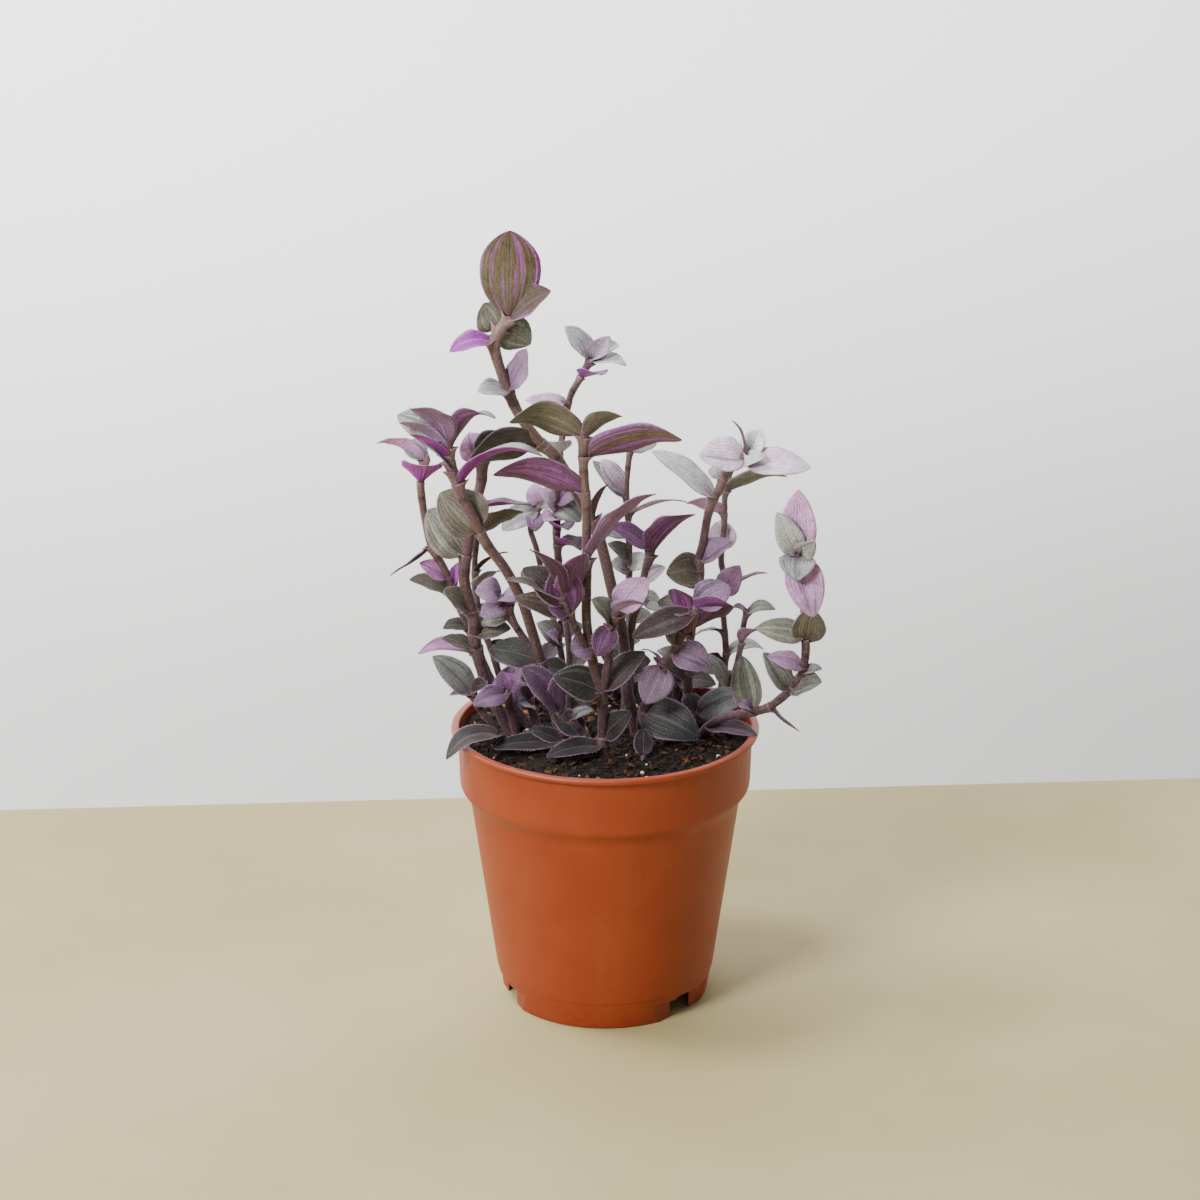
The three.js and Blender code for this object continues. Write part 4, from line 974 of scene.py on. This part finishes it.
def add_blade(skin, foot, girth, leaf, chance, seed):
    """A leaf's blade as rings round its thin section, closer together at its foot and tip."""
    reach, face = as_point(leaf.reach), as_point(leaf.face)
    along = unit(reach)
    up = unit(face - along * (face @ along))
    side = np.cross(along, up)
    base = foot + along * BLADE_SEAT * girth
    length = np.linalg.norm(reach) - BLADE_SEAT * girth
    rows = max(9, round(length / BLADE_STEP))
    across = np.linspace(-1, 1, BLADE_COLUMNS)
    phase, beats = chance.uniform(0, ABOUT_A_TURN), chance.uniform(*MARGIN_WAVES)
    wave = chance.uniform(*WAVE_HEIGHTS)
    sway = chance.uniform(-SWAY, SWAY) * length
    dip = chance.uniform(*TIP_DIPS) * length
    rings, places, edges = [], [], []
    for i in range(rows + 1):
        s = 0.55 * (0.5 - 0.5 * math.cos(math.pi * i / rows)) + 0.45 * i / rows
        normal = unit(up - along * (4 * leaf.bow * (1 - 2 * s) / length))
        bend = sway * math.sin(math.pi * s) * 0.5
        droop = dip * max(0.0, (s - DROOP_START) / (1 - DROOP_START)) ** 2
        rib = base + along * length * s + side * bend + up * (4 * leaf.bow * s * (1 - s) - droop)
        half = max(blade_outline(s, leaf.neck) * leaf.width / 2, LEAST_HALF_WIDTH)
        # At its foot the blade clasps the stalk.
        clasp = math.exp(-s / CLASP_SHARE)
        half = half * (1 - clasp) + max(half, CLASP_REACH * girth) * clasp * CLASP_WIDTH
        fold = math.radians(max(leaf.fold, LEAST_FOLD) * (1 - UNFOLDING * s))
        turn = 2 * fold + clasp * CLASP_TURN
        # Its folded section is partly an arc and partly a keel.
        arc = across * turn
        round_out, round_rise = np.sin(arc) / turn, (1 - np.cos(arc)) / turn
        keel_out, keel_rise = across * math.cos(turn / 2), abs(across) * math.sin(turn / 2)
        out = half * (ROUND_SHARE * round_out + KEEL_SHARE * keel_out)
        rise = half * (ROUND_SHARE * round_rise + KEEL_SHARE * keel_rise)
        # Its margins wave, faint ribs run along it, and its midrib lies in a groove.
        swing = math.sin(ABOUT_A_TURN * beats * s + phase)
        rise = rise + wave * half * abs(across) ** 3 * swing
        rise = rise + RIPPLE_HEIGHT * np.cos(across * RIPPLE_PITCH) * (1 - across ** 2)
        rise = rise - GROOVE_DEPTH * np.exp(-(across / GROOVE_WIDTH) ** 2) * (1 - s)
        flat = rib + np.outer(out, side) + np.outer(rise, normal)
        thick = EDGE_THICKNESS + (BLADE_THICKNESS - EDGE_THICKNESS) * (1 - across ** 4)
        outward = np.outer(np.cos(arc), normal) - np.outer(np.sin(arc), side)
        lift = outward * (thick * (1 - TIP_THINNING * s))[:, None] / 2
        rings.append(np.vstack((flat + lift, (flat - lift)[::-1])))
        places += [(t, s, seed) for t in (*across, *across[::-1])]
        edges.append((flat[0], flat[-1]))
    upper = np.repeat([1.0, 0.0] * len(rings), BLADE_COLUMNS)[:, None]
    # Painted shade: the lower the leaf sits above the soil, the darker its paints; light is that
    # painted factor, and SHADES gives the leaf's own random tone.
    height = base[2] + reach[2] / 2 - SOIL_LEVEL
    light = SHADE_AT_SOIL + (1 - SHADE_AT_SOIL) * min(1.0, max(0.0, height / SHADE_HEIGHT))
    shade = chance.uniform(*SHADES) * light
    faces = [leaf_paints(*colours, shade) for colours in (leaf.upper, leaf.under)]
    ground, stripe = (over * upper + under * (1 - upper) for over, under in zip(*faces))
    skin.loft(rings, 0, place=places, ground=ground, stripe=stripe, upper=upper)
    add_hairs(skin, edges, along, side, up, chance)


def add_hairs(skin, edges, along, side, up, chance):
    """Fine hairs along both margins, each a thin spike."""
    for k, outward in ((0, -side), (1, side)):
        for near, far in zip(edges[1:-1], edges[2:]):
            start, end = near[k], far[k]
            count = max(1, round(np.linalg.norm(end - start) / HAIR_GAP))
            for j in range(count):
                root = start + (end - start) * (j + chance.random()) / count
                lean = outward + along * chance.uniform(0.2, 0.9) + up * chance.uniform(-0.3, 0.5)
                lean = unit(lean)
                tip = root + lean * chance.uniform(*HAIR_LENGTHS)
                one = unit(np.cross(lean, up)) * HAIR_RADIUS
                two = np.cross(lean, one)
                root = root - lean * HAIR_SEAT
                points = [root + one, root - 0.5 * one + two, root - 0.5 * one - two, tip]
                skin.add(points, [(0, 2, 1), (0, 1, 3), (1, 2, 3), (2, 0, 3)], 2)


def add_rind(skin, rings, centres, distance, seed, joint, sheath):
    """Rings about a stalk as a skin, with what the stalk's finish reads of each ring."""
    around = np.tile(np.abs(np.linspace(-1, 1, STALK_SIDES, endpoint=False)), len(centres))
    rows = np.repeat(np.arange(len(centres)), STALK_SIDES)
    # height feeds the stalk's painted shade, darker towards the soil
    height = (centres[:, 2] - SOIL_LEVEL) / STALK_SHADE_HEIGHT
    place = np.column_stack((around, distance[rows], np.full(len(rows), seed)))
    stem = np.column_stack((joint[rows], sheath[rows], height[rows]))
    skin.loft(rings, 1, place=place, stem=stem)


def add_stalk(skin, girth, joints, leaves, chance, seed):
    """A shoot's stalk, and the function that gives a point on it for a joint's number. One that
    stands in the soil has a root's point before its first joint, which shifts the numbers."""
    joints = [as_point(p) for p in joints]
    points = [*joints, joints[-1] + unit(joints[-1] - joints[-2]) * STALK_TIP * girth]
    shift = 1 if joints[0][2] < SOIL_LEVEL else 0
    if shift:
        points.insert(0, joints[0] + unit(joints[0] - joints[1]) * ROOT_DEPTH)
    path = Path(points)
    numbers = []
    for i in range(path.last):
        steps = max(2, round(np.linalg.norm(path.at(i + 1) - path.at(i)) / STALK_STEP))
        numbers += [i + j / steps for j in range(steps)]
    numbers.append(path.last)
    samples = np.array([path.at(number) for number in numbers])
    lengths = np.linalg.norm(np.diff(samples, axis=0), axis=1)
    distance = np.concatenate(([0.0], np.cumsum(lengths)))
    leafy = sorted({round(leaf.joint + shift, 1) for leaf in leaves if leaf.joint > LOWEST_RING})
    swollen = np.interp(leafy, numbers, distance) - SHEATH_LENGTH
    gaps = np.abs(distance[:, None] - swollen[None, :]).min(axis=1)
    swelling = np.exp(-((gaps / SWELLING_LENGTH) ** 2))
    share = np.array(numbers) / path.last
    radii = girth / 2 * (1 - (1 - STALK_TAPER) * share) * (1 + SWELLING * swelling)
    end = np.clip(distance[-1] - distance, 0, STALK_TIP_ROUNDING) / STALK_TIP_ROUNDING
    radii = radii * np.clip(np.sqrt(end), 0.25, 1)
    rings = tube(samples, radii, STALK_SIDES)
    dark = np.exp(-((gaps / JOINT_RING) ** 2))
    add_rind(skin, rings, samples, distance, seed, dark, np.zeros(len(samples)))
    for leaf in leaves:
        top = float(np.interp(leaf.joint + shift, numbers, distance))
        add_sheath(skin, samples, distance, radii, top, as_point(leaf.reach), seed, chance)
    return lambda joint: path.at(joint + shift)


def add_sheath(skin, samples, distance, radii, top, reach, seed, chance):
    """The sleeve by which a leaf clasps the stalk; it opens like a funnel on the leaf's side."""
    length = SHEATH_LENGTH * chance.uniform(0.9, 1.15)
    shares = np.array((0.0, 0.3, 0.55, 0.75, 0.9, 1.0, 1.0, 0.75))
    sizes = np.array((1.0, 1.05, 1.08, 1.11, 1.14, 1.17, 1.05, 0.96))
    opening = np.array((0.0, 0.0, 0.06, 0.2, 0.46, 0.8, 0.72, 0.0))
    pale = np.array((0.0, 0.2, 0.3, 0.5, 0.7, 1.0, 1.0, 0.6))
    stops = np.clip(top - length + (length + SHEATH_OVERLAP) * shares, 0, distance[-1])
    radius = np.interp(stops, distance, radii)

    def along_stalk(stops):
        return np.column_stack([np.interp(stops, distance, samples[:, k]) for k in range(3)])

    centres = along_stalk(stops)
    aheads = along_stalk(stops + 1.0) - along_stalk(stops - 1.0)
    leafward = np.clip(circle((1.0,), (0.0,), STALK_SIDES), 0, 1) ** 1.5
    rings = []
    for i, centre in enumerate(centres):
        ahead = unit(aheads[i])
        toward = reach - ahead * (reach @ ahead)
        if np.linalg.norm(toward) < 0.25:
            toward = np.cross(ahead, (0.0, 1.0, 0.0))
        toward = unit(toward)
        sleeve = circle(toward, np.cross(ahead, toward), STALK_SIDES) * radius[i] * sizes[i]
        funnel = leafward * opening[i] * radius[i] * (unit(reach) + toward)
        rings.append(centre + sleeve + funnel)
    add_rind(skin, rings, centres, stops, seed, np.zeros(len(stops)), pale)


# ------------------------------------------------------------------ pot
def rounded(corners, steps=4):
    """Points of a profile whose corners, as (radius, height, rounding), are rounded."""
    profile = []
    for i, (x, z, rounding) in enumerate(corners):
        here = np.array((x, z))
        if rounding == 0:
            profile.append(here)
            continue
        before = np.array(corners[i - 1][:2]) - here
        after = np.array(corners[i + 1][:2]) - here
        reach = min(rounding, 0.48 * np.linalg.norm(before), 0.48 * np.linalg.norm(after))
        start = here + unit(before) * reach
        end = here + unit(after) * reach
        for k in range(steps + 1):
            t = k / steps
            profile.append((1 - t) ** 2 * start + 2 * t * (1 - t) * here + t * t * end)
    return profile


def inner_radius(height):
    heights = (FOOT_HEIGHT, SHOULDER_HEIGHT, BAND_BOTTOM, POT_HEIGHT)
    radii = (SEAM_RADIUS - WALL - 0.3, SHOULDER_RADIUS - WALL, BAND_RADIUS - WALL, MOUTH_RADIUS)
    return float(np.interp(height, heights, radii))


def arch(width, height, rounding, steps=5):
    """An outline that reaches below the table and has rounded upper corners."""
    points = [(-width / 2, -CUT_OVERLAP), (width / 2, -CUT_OVERLAP)]
    for sign, start in ((1, 0.0), (-1, math.pi / 2)):
        for k in range(steps + 1):
            angle = start + k / steps * math.pi / 2
            u = sign * (width / 2 - rounding) + rounding * math.cos(angle)
            points.append((u, height - rounding + rounding * math.sin(angle)))
    return points


def cutter(rings):
    skin = Skin()
    skin.loft(rings)
    return skin.build("cutter", [])


def slab(outline, depths, radial):
    """A cutter: an outline of (sideways, up) run along a radius between two depths."""
    sideways = np.array((-radial[1], radial[0], 0.0))
    up = np.array((0.0, 0.0, 1.0))
    return cutter([[radial * d + sideways * u + up * v for u, v in outline] for d in depths])


def carve(piece, cutters):
    for cutting in cutters:
        cut = piece.modifiers.new("carve", "BOOLEAN")
        cut.operation = "DIFFERENCE"
        cut.solver = "EXACT"
        cut.object = cutting
    graph = bpy.context.evaluated_depsgraph_get()
    carved = bpy.data.meshes.new_from_object(piece.evaluated_get(graph))
    piece.modifiers.clear()
    piece.data = carved
    for cutting in cutters:
        bpy.data.objects.remove(cutting)


def make_pot():
    lip_bottom = POT_HEIGHT - LIP_HEIGHT
    floor_top = FOOT_HEIGHT + FLOOR
    corners = [
        (0, FOOT_HEIGHT, 0),
        (FOOT_RADIUS - FOOT_WALL, FOOT_HEIGHT, 0.6),
        (FOOT_RADIUS - FOOT_WALL, 0.25, 0.3),
        (FOOT_RADIUS - FOOT_WALL + 0.3, 0, 0.2),
        (FOOT_RADIUS - 0.3, 0, 0.3),
        (FOOT_RADIUS + 0.05, 0.5, 0.4),
        (SEAM_RADIUS - 0.45, SEAM_HEIGHT - 0.7, 0.3),
        (SEAM_RADIUS - 0.1, SEAM_HEIGHT - 0.1, 0.2),
        (SEAM_RADIUS, SEAM_HEIGHT + 0.4, 0.3),
        (SHOULDER_RADIUS, SHOULDER_HEIGHT, 2.2),
        (SHOULDER_RADIUS + 1.2, SHOULDER_HEIGHT + 2.2, 1.6),
        (BAND_RADIUS - 0.15, BAND_BOTTOM - 1.2, 1.5),
        (BAND_RADIUS, BAND_BOTTOM + 0.8, 0.8),
        (BAND_TOP_RADIUS, lip_bottom, 0.35),
        (LIP_RADIUS - 0.25, lip_bottom, 0.4),
        (LIP_RADIUS, lip_bottom + 0.5, 0.4),
        (LIP_RADIUS, POT_HEIGHT - 0.45, 0.45),
        (LIP_RADIUS - 0.5, POT_HEIGHT, 0.45),
        (MOUTH_RADIUS + 0.4, POT_HEIGHT, 0.4),
        (MOUTH_RADIUS, POT_HEIGHT - 0.4, 0.4),
        (inner_radius(BAND_BOTTOM), BAND_BOTTOM, 1.5),
        (inner_radius(SHOULDER_HEIGHT), SHOULDER_HEIGHT, 2.0),
        (inner_radius(floor_top), floor_top, 0),
    ]
    skin = Skin()
    skin.loft([level_ring(*corner, POT_SIDES) for corner in rounded(corners)[1:]])
    pot = skin.build("nursery_pot", [pot_finish()])
    cutters = []
    facet = FOOT_RADIUS * math.cos(math.radians(FACET_HALF_ANGLE))
    drain_ends = (FOOT_HEIGHT - CUT_MARGIN, floor_top + CUT_MARGIN)
    for angle in NOTCH_ANGLES:
        turn = math.radians(angle - 90)
        radial = np.array((math.cos(turn), math.sin(turn), 0.0))
        notch = arch(NOTCH_WIDTH, NOTCH_HEIGHT, NOTCH_ROUNDING)
        flat = arch(FACET_WIDTH, FACET_HEIGHT, FACET_ROUNDING)
        drain = [radial * DRAIN_DISTANCE + (0, 0, z) for z in drain_ends]
        cutters += [
            slab(notch, NOTCH_REACH, radial),
            slab(flat, (facet, facet + FACET_DEPTH), radial),
            cutter(tube(drain, (DRAIN_RADIUS, DRAIN_RADIUS), DRAIN_SIDES)),
        ]
    carve(pot, cutters)
    pot.data.polygons.foreach_set("use_smooth", [True] * len(pot.data.polygons))
    pot.data.set_sharp_from_angle(angle=math.radians(CREASE_ANGLE))
    settle(pot, "pot")


# ------------------------------------------------------------------ soil
def soil_height(x, y):
    """The soil's mound, which also banks up against the back of the pot's wall."""
    share = math.hypot(x, y) / MOUTH_RADIUS
    waves = math.sin(0.31 * x + 1.1) * math.cos(0.27 * y - 0.4)
    waves += 0.6 * math.sin(0.83 * x - 0.71 * y)
    bank = SOIL_BANK * share ** 4 * min(1.0, max(0.0, 0.4 + y / MOUTH_RADIUS))
    return SOIL_LEVEL + SOIL_MOUND * (1 - share * share) + SOIL_RELIEF * waves + bank


def soil_surface(x, y):
    rough = noise.noise(Vector((x * 0.35, y * 0.35, 3.0))) * 0.7
    rough += noise.noise(Vector((x * 1.1, y * 1.1, 7.0))) * 0.45
    return soil_height(x, y) - SOIL_SINK + rough


def make_soil_bed():
    edge = SOIL_LEVEL - 2
    rings = []
    for height in (FOOT_HEIGHT + FLOOR + CLEARANCE, SHOULDER_HEIGHT, BAND_BOTTOM, edge):
        rings.append(level_ring(inner_radius(height) - CLEARANCE, height, SOIL_SIDES))
    rim = inner_radius(edge) - CLEARANCE
    for i in range(SOIL_RINGS):
        radius = min(rim * (1 - i / SOIL_RINGS) + SOIL_HUB, rim)
        ring = level_ring(radius, 0.0, SOIL_SIDES)
        rings.append([(x, y, soil_surface(x, y)) for x, y, _ in ring])
    skin = Skin()
    skin.loft(rings)
    settle(skin.build("soil_bed", [soil_finish()]), "potting_soil")


LUMP_POINTS = np.array([
    (0, 0, 1), (0.89, 0, 0.45), (0.28, 0.85, 0.45), (-0.72, 0.53, 0.45),
    (-0.72, -0.53, 0.45), (0.28, -0.85, 0.45), (0.72, 0.53, -0.45), (-0.28, 0.85, -0.45),
    (-0.89, 0, -0.45), (-0.28, -0.85, -0.45), (0.72, -0.53, -0.45), (0, 0, -1),
])
LUMP_FACES = []
for k in range(5):
    a, b, c, d = 1 + k, 1 + (k + 1) % 5, 6 + k, 6 + (k + 1) % 5
    LUMP_FACES += [(0, a, b), (a, c, b), (b, c, d), (11, d, c)]


def add_lump(skin, x, y, lift, size, chance, browns, rough=0.28):
    """An irregular bit on the soil: a twelve-cornered lump, pulled about and turned."""
    colour = chance.choice(browns)
    points = LUMP_POINTS * np.array([[chance.uniform(1 - rough, 1 + rough)] for _ in LUMP_POINTS])
    points = points * np.array(size)
    turn, tilt = chance.uniform(0, ABOUT_A_TURN), chance.uniform(-LUMP_TILT, LUMP_TILT)
    c, s = math.cos(tilt), math.sin(tilt)
    points = points @ np.array(((1, 0, 0), (0, c, -s), (0, s, c)))
    c, s = math.cos(turn), math.sin(turn)
    points = points @ np.array(((c, -s, 0), (s, c, 0), (0, 0, 1)))
    skin.add(points + (x, y, soil_surface(x, y) + lift), LUMP_FACES, ground=paint(colour))


def scatter(chance, count):
    for _ in range(count):
        angle = chance.uniform(0, 2 * math.pi)
        radius = SCATTER_RADIUS * math.sqrt(chance.random())
        yield radius * math.cos(angle), radius * math.sin(angle)


def make_soil_bits():
    finish = crumb_finish()
    chance = random.Random(SEED)
    crumbs, bark, perlite = Skin(), Skin(), Skin()
    browns = ("100a07", "1b120d", "261912", "150d0a", "33231a")
    for x, y in scatter(chance, CRUMBS):
        size = chance.uniform(0.3, 1.25) * (1.0, 0.8, 0.65)[chance.randrange(3)]
        size = (size, size * chance.uniform(0.6, 1), size * chance.uniform(0.5, 0.9))
        add_lump(crumbs, x, y, 0.1, size, chance, browns)
    orange_barks = ("6d4120", "8a5a30", "9a5f2c", "b0703a")
    dark_barks = ("3b2315", "4d2e18", "2c1a10", "5a381c")
    for x, y in scatter(chance, BARK_CHIPS):
        # Chips towards the back take the orange browns, those towards the front the dark ones.
        barks = orange_barks if y > chance.uniform(-20, 25) else dark_barks
        length = chance.uniform(0.7, 2.4)
        size = (length, length * chance.uniform(0.3, 0.5), chance.uniform(0.25, 0.55))
        add_lump(bark, x, y, 0.35, size, chance, barks)
    whites = ("d9d2c4", "ece7dc", "c9c0b0")
    spots = [
        (16.5, -39.5, 1.9), (14.5, -39.0, 1.3), (-4.5, -39.5, 1.0), (-2.5, -38.0, 0.8),
        (13.5, -37.0, 0.9), (-24.5, -34.0, 0.8), (-27.0, -33.0, 0.7), (-21.0, -35.0, 0.9),
    ]
    spots += [(x, y, chance.uniform(0.4, 1.0)) for x, y in scatter(chance, LOOSE_PERLITE)]
    for x, y, size in spots:
        form = (size, size * 0.85, size * 0.75)
        add_lump(perlite, x, y, size * 0.45, form, chance, whites, 0.16)
    for skin, name in ((crumbs, "peat_crumbs"), (bark, "bark_chips"), (perlite, "perlite")):
        piece = skin.build(name, [finish], smooth=name == "perlite")
        settle(piece, "potting_soil")


# ------------------------------------------------------------------ plant
def make_plants():
    finishes = [leaf_finish(), stalk_finish(), hair_finish()]
    plants = {}
    for number, (node, girth, joints, leaves) in enumerate(SHOOTS):
        skin = plants.setdefault(node, Skin())
        chance = random.Random(SEED * 100 + number)
        at = add_stalk(skin, girth, joints, leaves, chance, number * 3.7)
        for index, leaf in enumerate(leaves):
            add_blade(skin, at(leaf.joint), girth, leaf, chance, number * 11.3 + index * 2.9)
    for node, skin in plants.items():
        settle(skin.build("leafy_" + node, finishes), node)


# ------------------------------------------------------------------ stage, light, camera
def behind(distance, half_width, height):
    """The two ends of a line behind the plant, farther off on the right than on the left."""
    slant = math.tan(math.radians(STAGE_SLANT))
    return [(x, distance + x * slant, height) for x in (-half_width, half_width)]


def make_stage():
    floor, wall = Skin(), Skin()
    near = [(x, TABLE_FRONT, 0) for x in (TABLE_HALF_WIDTH, -TABLE_HALF_WIDTH)]
    floor.add([*behind(TABLE_DEPTH, TABLE_HALF_WIDTH, 0), *near], [(3, 2, 1, 0)])
    table = floor.build("table_top", [stage_finish("table_paper", "b1a67f", "a69a6e", 6.0)])
    table.location.z = -TABLE_DROP * MM
    foot = behind(WALL_DISTANCE, WALL_HALF_WIDTH, WALL_BOTTOM)
    head = behind(WALL_DISTANCE, WALL_HALF_WIDTH, WALL_TOP)
    wall.add([*foot, *reversed(head)], [(0, 1, 2, 3)])
    pale_paint_and_glow = stage_finish("wall_paint_and_painted_light", "f4f4f4", "efefef", 3.0, WALL_GLOW)
    backdrop = wall.build("pale_wall", [pale_paint_and_glow])
    table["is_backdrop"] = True
    backdrop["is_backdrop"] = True


def add_lamp(name, place, aim, size, power, colour):
    """A square lamp: its place, aim and size in metres, its power in watts."""
    light = bpy.data.lights.new(name, "AREA")
    light.size = size
    light.energy = power
    light.color = paint(colour)[:3]
    lamp = place_in_scene(name, light)
    lamp.location = place
    lamp.rotation_euler = (Vector(aim) - Vector(place)).to_track_quat("-Z", "Y").to_euler()


def make_light():
    add_lamp("key_window", (-0.78, -0.92, 0.92), (0, 0, 0.12), 0.4, 29.0, "fffcf8")
    add_lamp("front_fill", (0.3, -1.4, 0.6), (0, 0, 0.12), 0.9, 1.5, "f6f8ff")
    add_lamp("wall_wash", (-0.6, 0.0, 1.4), (-0.3, 0.17, 0.5), 0.4, 20.0, "ffffff")
    world = bpy.data.worlds.new("soft_room")
    world.use_nodes = True
    background = world.node_tree.nodes["Background"]
    background.inputs["Color"].default_value = ROOM_COLOUR
    background.inputs["Strength"].default_value = ROOM_STRENGTH
    bpy.context.scene.world = world


def make_camera():
    lens = bpy.data.cameras.new("photo_view")
    lens.lens = CAMERA_LENS
    lens.sensor_width = CAMERA_SENSOR
    camera = place_in_scene("photo_view", lens)
    camera.location = CAMERA_PLACE
    camera.rotation_euler = (math.radians(90 - CAMERA_PITCH), 0.0, 0.0)
    bpy.context.scene.camera = camera


make_camera()
make_light()
make_stage()
make_pot()
make_soil_bed()
make_soil_bits()
make_plants()

bpy.context.view_layer.update()
boxes = {"cad": cad_box, "visual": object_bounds()}
{k: [list(map(float, corner)) for corner in box] for k, box in boxes.items()}
